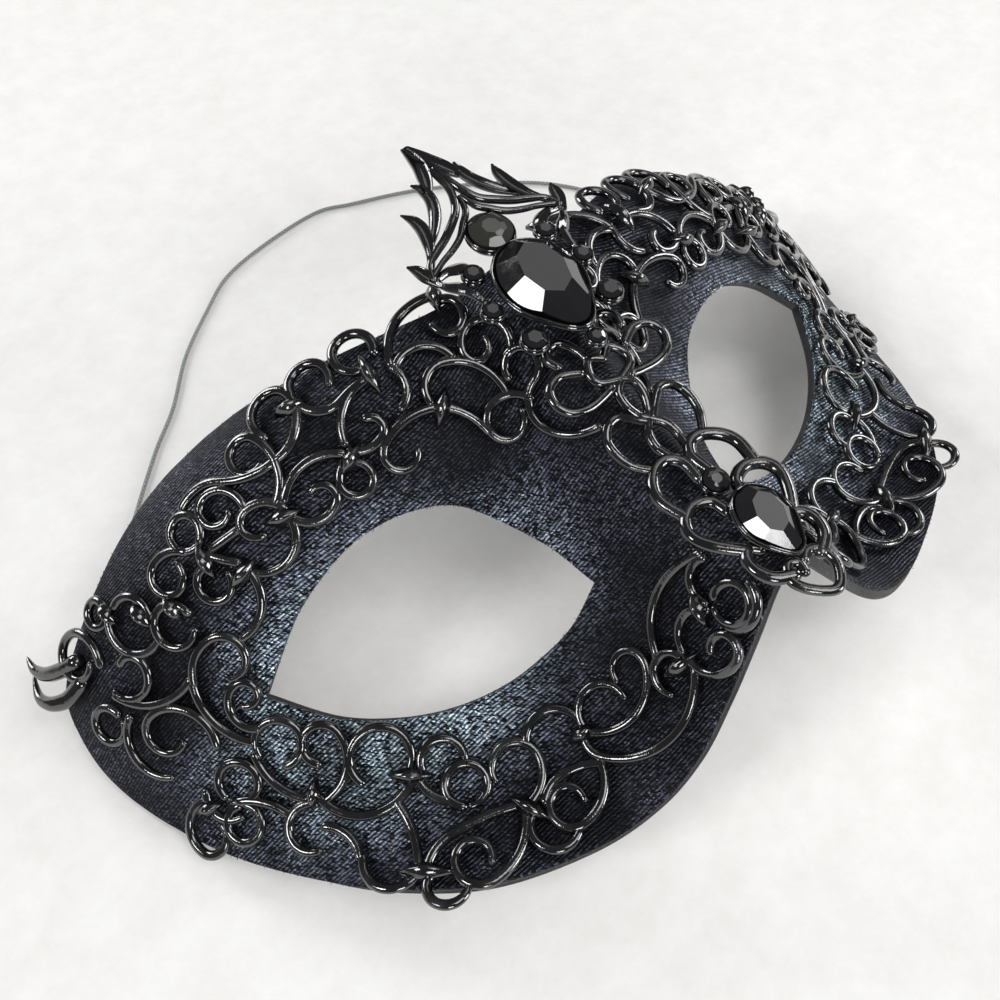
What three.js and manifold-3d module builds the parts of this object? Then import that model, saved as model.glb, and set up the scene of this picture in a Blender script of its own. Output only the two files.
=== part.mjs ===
import * as THREE from 'three';
import { mergeVertices } from 'three/addons/utils/BufferGeometryUtils.js';
import Module from 'manifold-3d';

const wasm = await Module();
wasm.setup();

// A half-face masquerade mask: a stiff cloth-covered shell, black metal filigree, glass stones and an
// elastic cord. Lengths are in millimetres. It is drawn looking at the wearer: X across the face, Y up
// the forehead, Z out of the face. At the end it is laid down face up.
const SHELL_THICKNESS = 2;
const SHELL_ROWS = [0, 0.4, 0.75, 1];
const WIRE_HEIGHT = 1.25;
const WIRE_HALF = 0.8;
const WIRE_OVERRUN = 0.8;
const TURN_PER_STEP = 60;
const LONGEST_STEP = 6;
const COLLAR_HEIGHT = 1.5;
const COLLAR_HALF = 1.05;
const STONE_GAP = 0.3;
const STONE_BACK = 0.9;
const SETTING_WALL = 0.8;
const SETTING_LIP = 0.3;
const SETTING_FOOT = 0.75;
const POCKET_TOP = 6;
const LEAN = 7.5;
const SLIDE = 10.98;
const LIFT = 49.27;
const CORD_DIAMETER = 0.8;
const CORD_STEPS = 72;
const CORD_SIDES = 8;

const EYE_MIDDLE = [-38, -19];
const EYE_INNER_CORNER = [-14.2, -29.8];
const EYE_OUTER_CORNER = [-59.7, -10.4];
const UPPER_LID = [
  EYE_INNER_CORNER, [-16, -21.8], [-20.1, -14.3], [-24.6, -9.2], [-31.2, -6], [-37.8, -4.6], [-43.5, -4.7],
  [-50.7, -6.2], EYE_OUTER_CORNER,
];
const LOWER_LID = [
  EYE_OUTER_CORNER, [-53.5, -19.4], [-46.5, -25.5], [-39.3, -29.5], [-31.7, -31.8], [-24.6, -32.3],
  [-19.3, -31.8], EYE_INNER_CORNER,
];
// Half of the rim, from the middle of the nose edge over cheek, temple and brow to the middle forehead
const RIM = [
  [0, -47.8], [-4, -48.5], [-9.1, -51.6], [-14.2, -54.6], [-20.4, -57.4], [-27.6, -58.3], [-37, -56.7],
  [-49.8, -51.4], [-59.8, -43.7], [-67.5, -35.1], [-75.7, -22.8], [-81.2, -10.2], [-83.9, -0.3],
  [-83.9, 8.2], [-81.6, 14.6], [-74, 18.4], [-63.2, 22.2], [-53.6, 23.8], [-42, 22.3], [-31.5, 18.5],
  [-18.8, 14], [-9, 11.6], [0, 11],
];
const RIM_STEPS = 44;
// The cloth is folded in over the rim; the fold bunches and thickens the rim where the cheek bends
const FOLD_THICKNESS = 1.6;
const FOLD_AT = 10;
const FOLD_WIDTH = 0.35;
const NOSE_RIDGE_STEPS = 10;
const LID_STEPS = 24;

// The height of the shell's outer face: forehead, bell of the nose and wrap round the temples
function shellHeight(x, y) {
  const up = (y + 30) / 50;
  const profile = 24.8 * up ** 2 - 6.7 * up ** 3 - 19.5 * up ** 4;
  const noseHeight = 22.3 - 29.5 * up + 6.8 * up ** 2;
  const noseWidth = 5 * Math.exp(-1.43 * up);
  const outward = Math.hypot(x, 11.9) - 11.9;
  const wrap = (9.3 + 16.3 * up - 13 * up ** 2) * (x / 50) ** 2 + (1.65 * up - 0.35) * (x / 50) ** 4;
  return profile - noseHeight * (1 - Math.exp(-outward / noseWidth)) - wrap;
}

function shellPoint(x, y) {
  return new THREE.Vector3(x, y, shellHeight(x, y));
}

function shellNormal(x, y) {
  const h = 0.05;
  const slopeX = (shellHeight(x + h, y) - shellHeight(x - h, y)) / (2 * h);
  const slopeY = (shellHeight(x, y + h) - shellHeight(x, y - h)) / (2 * h);
  return new THREE.Vector3(-slopeX, -slopeY, 1).normalize();
}

function smoothLine(points, steps) {
  const curve = new THREE.SplineCurve(points.map(([x, y]) => new THREE.Vector2(x, y)));
  return curve.getPoints(steps);
}

function solid(triangles) {
  const geometry = new THREE.BufferGeometry();
  const places = triangles.flat().flatMap((point) => [point.x, point.y, point.z]);
  geometry.setAttribute('position', new THREE.Float32BufferAttribute(places, 3));
  return mergeVertices(geometry, 1e-4);
}

function mirrored(triangles) {
  const flip = (point) => new THREE.Vector3(-point.x, point.y, point.z);
  return triangles.map(([a, b, c]) => [flip(a), flip(c), flip(b)]);
}

// Two triangles for each step between two rows of points
function strip(rowA, rowB) {
  const triangles = [];
  for (let i = 0; i + 1 < rowA.length; i += 1) {
    triangles.push([rowA[i], rowB[i], rowA[i + 1]]);
    triangles.push([rowB[i], rowB[i + 1], rowA[i + 1]]);
  }
  return triangles;
}

// Where a ray from the middle of the eye towards the rim point meets the edge of the eye hole
function eyeEdge(lids, rimPoint) {
  const middle = new THREE.Vector2(...EYE_MIDDLE);
  const ray = rimPoint.clone().sub(middle);
  for (let i = 0; i + 1 < lids.length; i += 1) {
    const a = lids[i].clone().sub(middle);
    const side = lids[i + 1].clone().sub(lids[i]);
    const scale = ray.cross(side);
    const along = a.cross(side) / scale;
    const across = a.cross(ray) / scale;
    if (along > 0 && across >= 0 && across <= 1) {
      return middle.addScaledVector(ray, along);
    }
  }
  return middle;
}

function snapToCorner(points, corner) {
  const target = new THREE.Vector2(...corner);
  const distances = points.map((point) => point.distanceTo(target));
  points[distances.indexOf(Math.min(...distances))] = target;
}

function foldAt(rimStep) {
  const place = (rimStep * (RIM.length - 1)) / RIM_STEPS;
  return FOLD_THICKNESS * Math.exp(-(((place - FOLD_AT) / FOLD_WIDTH) ** 2));
}

function shellHalf() {
  const rim = smoothLine(RIM, RIM_STEPS);
  const ridge = [];
  for (let i = 1; i < NOSE_RIDGE_STEPS; i += 1) {
    ridge.push(rim.at(-1).clone().lerp(rim[0], i / NOSE_RIDGE_STEPS));
  }
  const outer = [...rim, ...ridge, rim[0]];
  const lids = [...smoothLine(UPPER_LID, LID_STEPS), ...smoothLine(LOWER_LID, LID_STEPS)];
  const inner = outer.slice(0, -1).map((point) => eyeEdge(lids, point));
  snapToCorner(inner, EYE_INNER_CORNER);
  snapToCorner(inner, EYE_OUTER_CORNER);
  inner.push(inner[0]);
  const rows = SHELL_ROWS.map((share) => inner.map((point, i) => point.clone().lerp(outer[i], share)));
  const front = rows.map((row) => row.map(({ x, y }) => shellPoint(x, y)));
  const back = rows.map((row, k) => row.map(({ x, y }, i) => {
    const depth = SHELL_THICKNESS + (k === rows.length - 1 ? foldAt(i) : 0);
    return shellPoint(x, y).addScaledVector(shellNormal(x, y), -depth);
  }));
  const triangles = [];
  for (let i = 0; i + 1 < rows.length; i += 1) {
    triangles.push(...strip(front[i + 1], front[i]));
    triangles.push(...strip(back[i], back[i + 1]));
  }
  triangles.push(...strip(front[0], back[0]));
  triangles.push(...strip(back.at(-1).slice(0, rim.length), front.at(-1).slice(0, rim.length)));
  return triangles;
}

// Closes a row of equal rings into a rod
function rod(rings) {
  const triangles = [];
  for (let i = 0; i + 1 < rings.length; i += 1) {
    triangles.push(...strip([...rings[i], rings[i][0]], [...rings[i + 1], rings[i + 1][0]]));
  }
  const [first, last] = [rings[0], rings.at(-1)];
  for (let j = 1; j + 1 < first.length; j += 1) {
    triangles.push([first[0], first[j], first[j + 1]]);
    triangles.push([last[0], last[j + 1], last[j]]);
  }
  return triangles;
}

const WIRE_SECTION = [[0.95, -0.65], [0, 1], [-0.95, -0.65]];
const BLADE_SECTION = [[1, -0.5], [0, 0.7], [-1, -0.5]];

function ring(centre, forward, up, half, section) {
  const side = forward.clone().cross(up);
  return section.map(([across, high]) =>
    centre.clone().addScaledVector(side, across * half).addScaledVector(up, high * half));
}

// A wire walks over the shell from a start and a heading (degrees in plan) along arcs of [radius, turn]
function wireRings([x, y, heading, ...arcs]) {
  const angle = THREE.MathUtils.degToRad(heading);
  let place = shellPoint(x, y);
  let up = shellNormal(x, y);
  let forward = new THREE.Vector3(Math.cos(angle), Math.sin(angle), 0);
  const settle = () => {
    place = shellPoint(place.x, place.y);
    up = shellNormal(place.x, place.y);
    forward.addScaledVector(up, -forward.dot(up)).normalize();
  };
  const mark = (overrun = 0) => {
    const centre = place.clone().addScaledVector(up, WIRE_HEIGHT).addScaledVector(forward, overrun);
    return ring(centre, forward, up, WIRE_HALF, WIRE_SECTION);
  };
  forward.z = -(up.x * forward.x + up.y * forward.y) / up.z;
  forward.normalize();
  const rings = [mark(-WIRE_OVERRUN)];
  for (let i = 0; i < arcs.length; i += 2) {
    const [radius, turn] = [arcs[i], THREE.MathUtils.degToRad(arcs[i + 1])];
    const length = radius * Math.abs(turn);
    const steps = Math.ceil(Math.max(Math.abs(arcs[i + 1]) / TURN_PER_STEP, length / LONGEST_STEP));
    const small = Math.ceil(length / steps / 0.8);
    for (let step = 0; step < steps * small; step += 1) {
      forward.applyAxisAngle(up, turn / steps / small / 2);
      place.addScaledVector(forward, length / steps / small);
      settle();
      forward.applyAxisAngle(up, turn / steps / small / 2);
      if ((step + 1) % small === 0) {
        rings.push(mark());
      }
    }
  }
  rings[rings.length - 1] = mark(WIRE_OVERRUN);
  return rings;
}

// A wire that closes on itself is made in two rods that share a ring
function wireRods(wire) {
  const rings = wireRings(wire);
  const turns = wire.slice(3).filter((value, i) => i % 2 === 1);
  const total = Math.abs(turns.reduce((sum, turn) => sum + turn, 0));
  if (total < 200) {
    return [rod(rings)];
  }
  const half = Math.floor(rings.length / 2);
  return [rod(rings.slice(0, half + 1)), rod(rings.slice(half))];
}

// An olive-shaped collar bound across two wires: middle, heading and length
function collar([x, y, heading, length]) {
  const up = shellNormal(x, y);
  const angle = THREE.MathUtils.degToRad(heading);
  const forward = new THREE.Vector3(Math.cos(angle), Math.sin(angle), 0);
  forward.addScaledVector(up, -forward.dot(up)).normalize();
  return olive(shellPoint(x, y).addScaledVector(up, COLLAR_HEIGHT), forward, up, length, COLLAR_HALF);
}

function olive(centre, forward, up, length, half) {
  const belly = ring(centre, forward, up, half, [[1, 0], [0, 1], [-1, 0], [0, -0.9]]);
  const tips = [-0.5, 0.5].map((share) => centre.clone().addScaledVector(forward, share * length));
  return belly.flatMap((corner, i) => {
    const next = belly[(i + 1) % belly.length];
    return [[tips[0], corner, next], [tips[1], next, corner]];
  });
}

// A wire through points [x, y], lying flat on a level that depends on y
function flatRod(points, { level, half, steps = points.length - 1 }) {
  const line = smoothLine(points, steps);
  const up = new THREE.Vector3(0, 0, 1);
  return rod(line.map((point, i) => {
    const before = line[Math.max(i - 1, 0)];
    const after = line[Math.min(i + 1, line.length - 1)];
    const forward = new THREE.Vector3(after.x - before.x, after.y - before.y, 0).normalize();
    const centre = new THREE.Vector3(point.x, point.y, level(point.y));
    return ring(centre, forward, up, half, WIRE_SECTION);
  }));
}

// A horn through points [x, y, z, half the width]
function horn(points) {
  const line = new THREE.CatmullRomCurve3(points.map(([x, y, z]) => new THREE.Vector3(x, y, z)));
  const up = new THREE.Vector3(0, 0, 1);
  return rod(points.map(([x, y, z, half], i) => {
    const forward = line.getTangent(i / (points.length - 1)).setZ(0).normalize();
    return ring(new THREE.Vector3(x, y, z), forward, up, half, BLADE_SECTION);
  }));
}

// Pointed at its start, thickest past the middle
const bladeSwell = (share) => 0.25 + 0.75 * Math.sin(Math.PI * Math.min(share, 0.75) / 1.5);

// A turned profile of [radius, height], drawn out upwards and downwards and pinched towards the lower point
function turned(profile, { x, y, z, width, upper = width / 2, lower = width / 2, pinch = 0, sides }) {
  const lathe = new THREE.LatheGeometry(profile.map(([r, h]) => new THREE.Vector2(r, h)), sides);
  lathe.rotateX(Math.PI / 2);
  const place = lathe.getAttribute('position');
  for (let i = 0; i < place.count; i += 1) {
    const [across, along] = [place.getX(i), place.getY(i)];
    const reach = along < 0 ? lower : upper;
    const drawnIn = along < 0 ? 1 - pinch * Math.sin(2 * Math.atan2(along, across)) ** 2 : 1;
    place.setXY(i, across * drawnIn, (along * drawnIn * reach * 2) / width);
  }
  lathe.translate(x, y, z);
  lathe.deleteAttribute('normal');
  lathe.deleteAttribute('uv');
  return mergeVertices(lathe, 1e-4);
}

// A cut stone: girdle at height 0, table above, flat back
function stone(spec) {
  const r = spec.width / 2;
  const table = 0.42 * r;
  return turned([[0, -STONE_BACK], [0.85 * r, -STONE_BACK], [r, 0], [0.6 * r, table], [0, table]], spec);
}

// The metal cup of a stone, before its pocket is cut
function setting(spec) {
  const r = spec.width / 2 + SETTING_WALL;
  const shoulder = -STONE_BACK - STONE_GAP;
  const foot = -spec.depth;
  const cup = [[0, foot], [SETTING_FOOT * r, foot], [r, shoulder], [r, SETTING_LIP], [0, SETTING_LIP]];
  return turned(cup, spec);
}

function pocket(spec) {
  const r = spec.width / 2 + STONE_GAP;
  const floor = -STONE_BACK - STONE_GAP;
  return turned([[0, floor], [r, floor], [r, POCKET_TOP], [0, POCKET_TOP]], spec);
}

function toManifold(geometry) {
  return new wasm.Manifold(new wasm.Mesh({
    numProp: 3,
    vertProperties: new Float32Array(geometry.attributes.position.array),
    triVerts: new Uint32Array(geometry.index.array),
  }));
}

// Joins the geometries into one casting and cuts the pockets out of it
function casting(geometries, pockets = []) {
  let whole = geometries.map(toManifold).reduce((sum, next) => sum.add(next));
  for (const cut of pockets) {
    whole = whole.subtract(toManifold(cut));
  }
  const mesh = whole.getMesh();
  const geometry = new THREE.BufferGeometry();
  geometry.setAttribute('position', new THREE.BufferAttribute(new Float32Array(mesh.vertProperties), 3));
  geometry.setIndex(new THREE.BufferAttribute(new Uint32Array(mesh.triVerts), 1));
  return geometry;
}

// Scrolls of the near half: x, y, heading, then radius and turn of each arc
const BROW_SCROLLS = [
  [-9.5, 13, 151, 8.5, 94],
  [-9.8, 12, -18, 2.6, -258],
  [-8.6, -2.2, 91, 2.6, -259, 4.5, 111, 8.6, 53],
  [-19.7, 2.1, 93, 3.6, -112, 8, -77],
  [-19.2, 1.1, 152, 9.6, 56, 2.4, 215],
  [-21.6, 11.9, 48, 3, 315],
  [-33.6, 15.2, 79, 3.1, -217],
  [-33.6, 13.3, -86, 4.1, 94, 14.3, -17],
  [-43.5, 5.9, 24, 6.6, 90, 2.6, 263],
  [-47, 8.6, 79, 3.9, 105, 2.3, 218],
  [-43.2, 4.1, -84, 5.2, -125],
];
const BROW_LINKS = [
  [-43.1, 5.2, -154, 57.3, 2.6], [-33.7, 15.4, -67, 57.3, 2.7], [-21.2, 8.1, 154, 57.3, 4],
  [-45.4, 14.1, -140, 57.3, 4.1], [-9.6, -1.9, -93, 57.3, 4.2], [-12, 7.6, -143, 57.3, 5],
  [-41.5, 14.8, -5, 57.3, 6.9], [-33.6, 14.3, -165, 57.3, 2.6],
];
const BROW_COLLARS = [
  [-24.1, 9.6, -101, 4.6], [-34.6, 13.7, -18, 3.6], [-19, 0.6, -135, 4.2], [-10.1, 12.6, -115, 3.5],
];
const TEMPLE_SCROLLS = [
  [-54.4, 9.8, 25, 2.3, 339],
  [-56.4, 10.6, 121, 5.4, 60, 2.7, 264],
  [-51.3, 2.1, -85, 6.4, -98],
  [-65.5, -1.8, 66, 6.8, -68, 3.3, -196],
  [-65.6, -1.5, -117, 10.2, 64],
  [-69, 14.4, -143, 4.7, 170],
  [-74.2, 10.8, 61, 4.6, 130, 3.4, 214],
  [-67.9, -9.8, 63, 6.2, 128, 3.3, 200],
  [-75.3, 2.4, -168, 5.9, 134],
];
const TEMPLE_LINKS = [
  [-67.9, -8.8, 80, 57.3, 5.2], [-57.1, 9.8, -29, 57.3, 3.1], [-60.2, 7.6, -142, 57.3, 3.6],
  [-72.6, 0.1, 148, 57.3, 4.6], [-67.6, 5.4, 16, 57.3, 6], [-71.2, 9.7, 118, 57.3, 6.6],
  [-51.5, 2.1, 148, 57.3, 6.9], [-65.4, 7, -15, 57.3, 3.1], [-59.3, 8.3, -56, 57.3, 3.9],
];
const TEMPLE_COLLARS = [
  [-55, 7.3, -111, 4.2], [-69.1, 14, -100, 2.9], [-61.9, 6.7, -102, 3.1],
];
// Two claws that curl out over the rim, from the tip to the foot
const TEMPLE_CLAWS = [
  [[-83.6, 23.6, -43.6], [-83.7, 21, -43.2], [-82.6, 18.4, -41.8], [-80.3, 16.4, -39.5], [-77.8, 15, -37]],
  [[-84.3, 21, -44.8], [-85.4, 17, -44.2], [-84.4, 14, -42.6], [-81.9, 12.2, -40.6], [-78.8, 12, -38]],
];
const CLAW_STEPS = 6;
const CLAW_HALF = 1.3;
const CHEEK_SCROLLS = [
  [-71.1, -15.6, 95, 3.2, -333],
  [-73.4, -14.1, 146, 4.4, 139, 2.8, 160],
  [-61.9, -19.1, -25, 3.5, 282],
  [-58.6, -21.9, 125, 3, -135, 2.9, -84, 7, -92],
  [-55.5, -28.1, 104, 4.5, -254],
  [-61.1, -25.7, -86, 8.1, 120],
  [-61.6, -36.7, -132, 4.4, 141],
  [-39.4, -46.4, 4, 6, 69, 3.6, 188],
  [-55.9, -43.9, 41, 6.1, -50, 31.5, -20],
  [-40.7, -46.9, -123, 10.3, -60, 3.7, -135, 2.6, -185],
  [-28.9, -50.1, -109, 7.3, -72, 3.2, -132, 2.6, -157],
];
const CHEEK_LINKS = [
  [-66.5, -14.2, -55, 57.3, 3.6], [-38.8, -51.5, 100, 57.3, 3.8], [-71.2, -17.2, 139, 57.3, 4.5],
  [-59.4, -30.4, -115, 57.3, 6.9], [-64, -15.3, -85, 57.3, 3.5],
];
const CHEEK_COLLARS = [
  [-61.5, -24.9, -139, 3.5], [-56.2, -44.4, -43, 5.7], [-39.9, -47.2, -68, 4.9],
];
const NOSE_SCROLLS = [
  [-27.5, -44.3, -125, 3.4, 73, 13.5, 97],
  [-26.7, -44.4, -55, 8.4, 106, 2.8, 206],
  [-14.4, -43.8, 70, 10.2, -55, 13.8, -38],
  [-5.3, -39.4, 134, 3.2, 149],
  [-8.4, -44.5, 103, 4.2, 131],
  [-10.9, -48.7, 59, 2.2, -216, 4.9, -105],
];
const NOSE_COLLARS = [
  [-27.3, -44, -5, 3.3], [-13.6, -47.2, -13, 4.6], [-8.7, -44, -129, 4],
];

// Crown over the forehead, near half: horns, ribs and leaves as [x, y, z, half the width]
const CROWN_HORNS = [
  [
    [-0.6, 32.6, 8.9, 0.6], [-0.9, 30.1, 9.3, 1], [-1.4, 27.7, 9.6, 1.15], [-2, 25.7, 9.7, 1.1],
    [-2.7, 24, 9.6, 0.7],
  ],
  [
    [-3.9, 26.2, 9.3, 0.26], [-3.4, 24.5, 9.5, 0.85], [-3.6, 22.3, 9.6, 0.98], [-4.5, 20.3, 9.5, 1],
    [-5.9, 18.5, 9.2, 0.85], [-8.3, 16.2, 8.8, 0.4],
  ],
  [
    [-8.4, 22.9, 9, 0.2], [-7.8, 21, 9.2, 0.82], [-7.8, 18.9, 9.2, 1.04], [-8.4, 16.9, 9, 0.96],
    [-9.4, 15, 8.8, 0.7], [-11, 12.9, 8.6, 0.5],
  ],
  [[-13.2, 15.2, 8.6, 0.3], [-12.7, 14, 8.7, 0.85], [-12.3, 12.5, 8.6, 1.05], [-11.6, 10.8, 8.4, 0.7]],
  [
    [-0.3, 26.4, 10, 0.45], [-0.5, 22.4, 10.3, 0.62], [-1.1, 20.3, 10.1, 0.63], [-2.2, 18.5, 9.7, 0.65],
    [-4.2, 17, 9.4, 0.66], [-6.4, 15.8, 9, 0.64], [-8.7, 14.8, 8.8, 0.6], [-10.7, 13.6, 8.7, 0.5],
    [-11.7, 11.6, 8.5, 0.5],
  ],
  [
    [-0.2, 20, 10, 0.4], [-0.9, 17.8, 9.6, 0.53], [-2.5, 16.4, 9.2, 0.56], [-4.3, 14.9, 8.9, 0.54],
    [-6.5, 13.9, 8.7, 0.5], [-8.7, 13.2, 8.6, 0.45], [-11.3, 12, 8.5, 0.45],
  ],
  [
    [-11.5, 11.1, 8.4, 0.35], [-9.5, 11.6, 8.5, 0.5], [-8, 11.3, 8.5, 0.73], [-6.8, 10.8, 8.5, 0.65],
    [-6, 9.8, 8.4, 0.3],
  ],
  [
    [-11.6, 10.8, 8.4, 0.35], [-10.8, 9.6, 8.4, 0.53], [-9.7, 8.6, 8.4, 0.8], [-8.8, 7.4, 8.3, 0.69],
    [-8.3, 4.8, 8.2, 0.4],
  ],
];

// Flat spray down the middle of the face; its level dips to the bridge of the nose and rises to the tip
const SPRAY_LEVEL_AT = [
  [-55, 4.6], [-48, 3.9], [-38, 2.6], [-31, 1.9], [-25, 1.6], [-20, 2.5], [-15, 4.6], [-10, 5.4], [-5, 5.3],
];
const SPRAY_LOOPS = [
  [[-1.9, -9.5], [-2.1, -7.5], [-3.1, -5.4], [-5.1, -5.1], [-6.3, -6.5], [-6, -8.2]],
  [
    [-2, -14.9], [-3.6, -15.2], [-6.5, -15.4], [-9, -14.6], [-10.1, -12.5], [-9.4, -10.4], [-7, -9.6],
    [-4.2, -10.8],
  ],
  [[0, -10.9], [-1.6, -9.9], [-2.6, -10.5], [-3.3, -12], [-2.7, -13.6], [0, -14.7]],
  [[0, -14.7], [-1.5, -15.7], [-1.7, -17.6], [-1, -19.5], [0, -20.7]],
  [[0, -20.7], [-1.5, -22.4], [-2, -24.4], [-1.6, -26.9]],
  [
    [-0.6, -20.9], [-2.6, -19.2], [-4.2, -18.3], [-6, -18.7], [-7.2, -20.3], [-7.3, -22.5], [-6.6, -24.6],
    [-4.8, -26.9],
  ],
];
const FLOWER_PETALS = [
  [[-1, -31.6], [-0.8, -28.7], [-2.2, -26.9], [-4.5, -26.9], [-6.7, -28.7], [-7.5, -31.1], [-6.8, -34.6]],
  [
    [-2, -37.2], [-2.4, -35.3], [-4, -34.3], [-5.8, -34.3], [-7.6, -35.5], [-8.2, -37.6], [-6.9, -40.3],
    [-4.4, -43.2],
  ],
  [[-3, -44], [-4, -43.1], [-5.5, -44.1], [-5.8, -46.1], [-4.8, -48.1], [-2.6, -49.4]],
];
const HEART_DROP = [
  [-1.2, -49.9], [-0.9, -48.6], [-2.1, -47.9], [-3.5, -49.6], [-2.6, -52], [0.2, -54.1], [2.8, -51.8],
  [2.9, -49.2], [1.5, -48.2], [0.2, -48.7],
];

// Stones: middle, girdle height, width and depth of the setting. A drawn-out stone reaches to upper and lower
// and is pinched towards its lower point. A pair has a twin on the far half
const CROWN_STONES = [
  {
    name: 'crown_oval_stone', x: 0, y: 2.4, z: 9.2, width: 12, upper: 7.5, lower: 9.4,
    pinch: 0.11, depth: 3.3, sides: 12,
  },
  { name: 'crown_round_stone', x: 0, y: 13.3, z: 8.8, width: 6.6, depth: 2.2, sides: 8 },
  { name: 'crown_upper_stone', pair: true, x: -6.7, y: 9.1, z: 8.6, width: 2.7, depth: 1.6, sides: 6 },
  { name: 'crown_side_stone', pair: true, x: -8.4, y: 2.9, z: 8.1, width: 2.7, depth: 1.6, sides: 6 },
  { name: 'crown_lower_stone', pair: true, x: -7, y: -4.2, z: 8.2, width: 3.4, depth: 1.6, sides: 6 },
  { name: 'crown_foot_stone', x: 0, y: -8.9, z: 8.3, width: 2.4, depth: 1.6, sides: 6 },
];
const SPRAY_STONES = [
  { name: 'flower_round_stone', x: 0, y: -33.4, z: 2.9, width: 3.6, depth: 2, sides: 8 },
  {
    name: 'nose_oval_stone', x: 0, y: -41.7, z: 5.4, width: 7.2, upper: 4.9, lower: 5.9,
    pinch: 0.11, depth: 1.9, sides: 12,
  },
];

function sprayLevel(y) {
  const next = Math.max(1, SPRAY_LEVEL_AT.findIndex(([at]) => at >= y));
  const [[y0, z0], [y1, z1]] = [SPRAY_LEVEL_AT[next - 1], SPRAY_LEVEL_AT[next]];
  return z0 + ((z1 - z0) * (y - y0)) / (y1 - y0);
}

function withTwins(rods) {
  return [...rods, ...rods.map(mirrored)].map(solid);
}

function claw(points) {
  const curve = new THREE.CatmullRomCurve3(points.map((point) => new THREE.Vector3(...point)));
  const { x, y } = curve.getPoint(0.5);
  return rod(curve.getPoints(CLAW_STEPS).map((centre, i) => {
    const forward = curve.getTangent(i / CLAW_STEPS);
    const up = shellNormal(x, y);
    up.addScaledVector(forward, -forward.dot(up)).normalize();
    return ring(centre, forward, up, CLAW_HALF * bladeSwell(i / CLAW_STEPS), BLADE_SECTION);
  }));
}

function filigree(scrolls, links, collars) {
  return [...scrolls, ...links].flatMap(wireRods).concat(collars.map(collar));
}

const mask = new THREE.Group();
mask.name = 'masquerade_mask';

const BLACK_METAL = { color: 0x0b0b0c, roughness: 0.25, metalness: 0.9 };
const BLACK_GLASS = { color: 0x050506, roughness: 0.05, metalness: 0.1 };
const NAVY_CLOTH = { color: 0x141a26, roughness: 0.8, metalness: 0.1 };
const GREY_ELASTIC = { color: 0x3c3e3f, roughness: 0.9, metalness: 0 };

function addPiece(name, geometry, look) {
  geometry.computeVertexNormals();
  const piece = new THREE.Mesh(geometry, new THREE.MeshStandardMaterial(look));
  piece.name = name;
  mask.add(piece);
}

function addPair(name, parts) {
  addPiece(`${name}_near`, casting(parts.map(solid)), BLACK_METAL);
  addPiece(`${name}_far`, casting(parts.map(mirrored).map(solid)), BLACK_METAL);
}

function twinned(stones) {
  return stones.flatMap((spec) => (spec.pair
    ? [{ ...spec, name: `${spec.name}_near` }, { ...spec, name: `${spec.name}_far`, x: -spec.x }]
    : [spec]));
}

function addStones(stones) {
  for (const spec of stones) {
    addPiece(spec.name, stone(spec), BLACK_GLASS);
  }
}

const half = shellHalf();
addPiece('mask_shell', solid([...half, ...mirrored(half)]), NAVY_CLOTH);
addPair('brow_filigree', filigree(BROW_SCROLLS, BROW_LINKS, BROW_COLLARS));
addPair('temple_filigree', [
  ...filigree(TEMPLE_SCROLLS, TEMPLE_LINKS, TEMPLE_COLLARS),
  ...TEMPLE_CLAWS.map(claw),
]);
addPair('cheek_filigree', filigree(CHEEK_SCROLLS, CHEEK_LINKS, CHEEK_COLLARS));
addPair('nose_filigree', filigree(NOSE_SCROLLS, [], NOSE_COLLARS));

const crownStones = twinned(CROWN_STONES);
const crownRods = CROWN_HORNS.map(horn);
addPiece('crown', casting([...withTwins(crownRods), ...crownStones.map(setting)],
  crownStones.map(pocket)), BLACK_METAL);
addStones(crownStones);

const sprayRods = [
  ...SPRAY_LOOPS.map((points) => flatRod(points, { level: sprayLevel, half: 0.7 })),
  ...FLOWER_PETALS.map((points) => flatRod(points, { level: sprayLevel, half: 0.9 })),
];
const drop = flatRod(HEART_DROP, { level: sprayLevel, half: 0.7, steps: 14 });
addPiece('centre_spray', casting([...withTwins(sprayRods), solid(drop), ...SPRAY_STONES.map(setting)],
  SPRAY_STONES.map(pocket)), BLACK_METAL);
addStones(SPRAY_STONES);

// The mask lies face up on its temples: leant back, raised until its rim touches the surface, box centred
for (const piece of mask.children) {
  piece.geometry.rotateX(THREE.MathUtils.degToRad(LEAN));
  piece.geometry.translate(0, SLIDE, LIFT);
}

// Elastic cord: from its glued end inside the near temple out under the brow, round over the surface that
// the mask lies on, and back inside the far temple
const CORD_ROUTE = [
  [-73.8, 25.3, 12.64], [-73.2, 30, 11.84], [-71.8, 35, 8.84], [-69.2, 41, 4.84], [-65.4, 47.5, 2.14],
  [-60.7, 53.8, 0.55], [-55.7, 59.3, 0.55], [-45.7, 69.3, 0.55], [-37.7, 76.3, 0.55], [-28.7, 86.3, 0.55],
  [-18.7, 94.3, 0.55], [-9.7, 100.3, 0.55], [2.3, 103.3, 0.55], [16.3, 104.3, 0.55], [24.3, 101.3, 0.55],
  [36.3, 96.3, 0.55], [47.3, 89.8, 0.55], [57.3, 82.3, 0.55], [63.3, 76.3, 0.55], [68.3, 68.3, 0.55],
  [70.3, 60.8, 0.55], [70.6, 53, 2.14], [71.4, 45, 4.44], [72.4, 37.5, 7.84], [73.3, 31, 11.24],
  [73.8, 25.3, 12.64],
];

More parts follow.
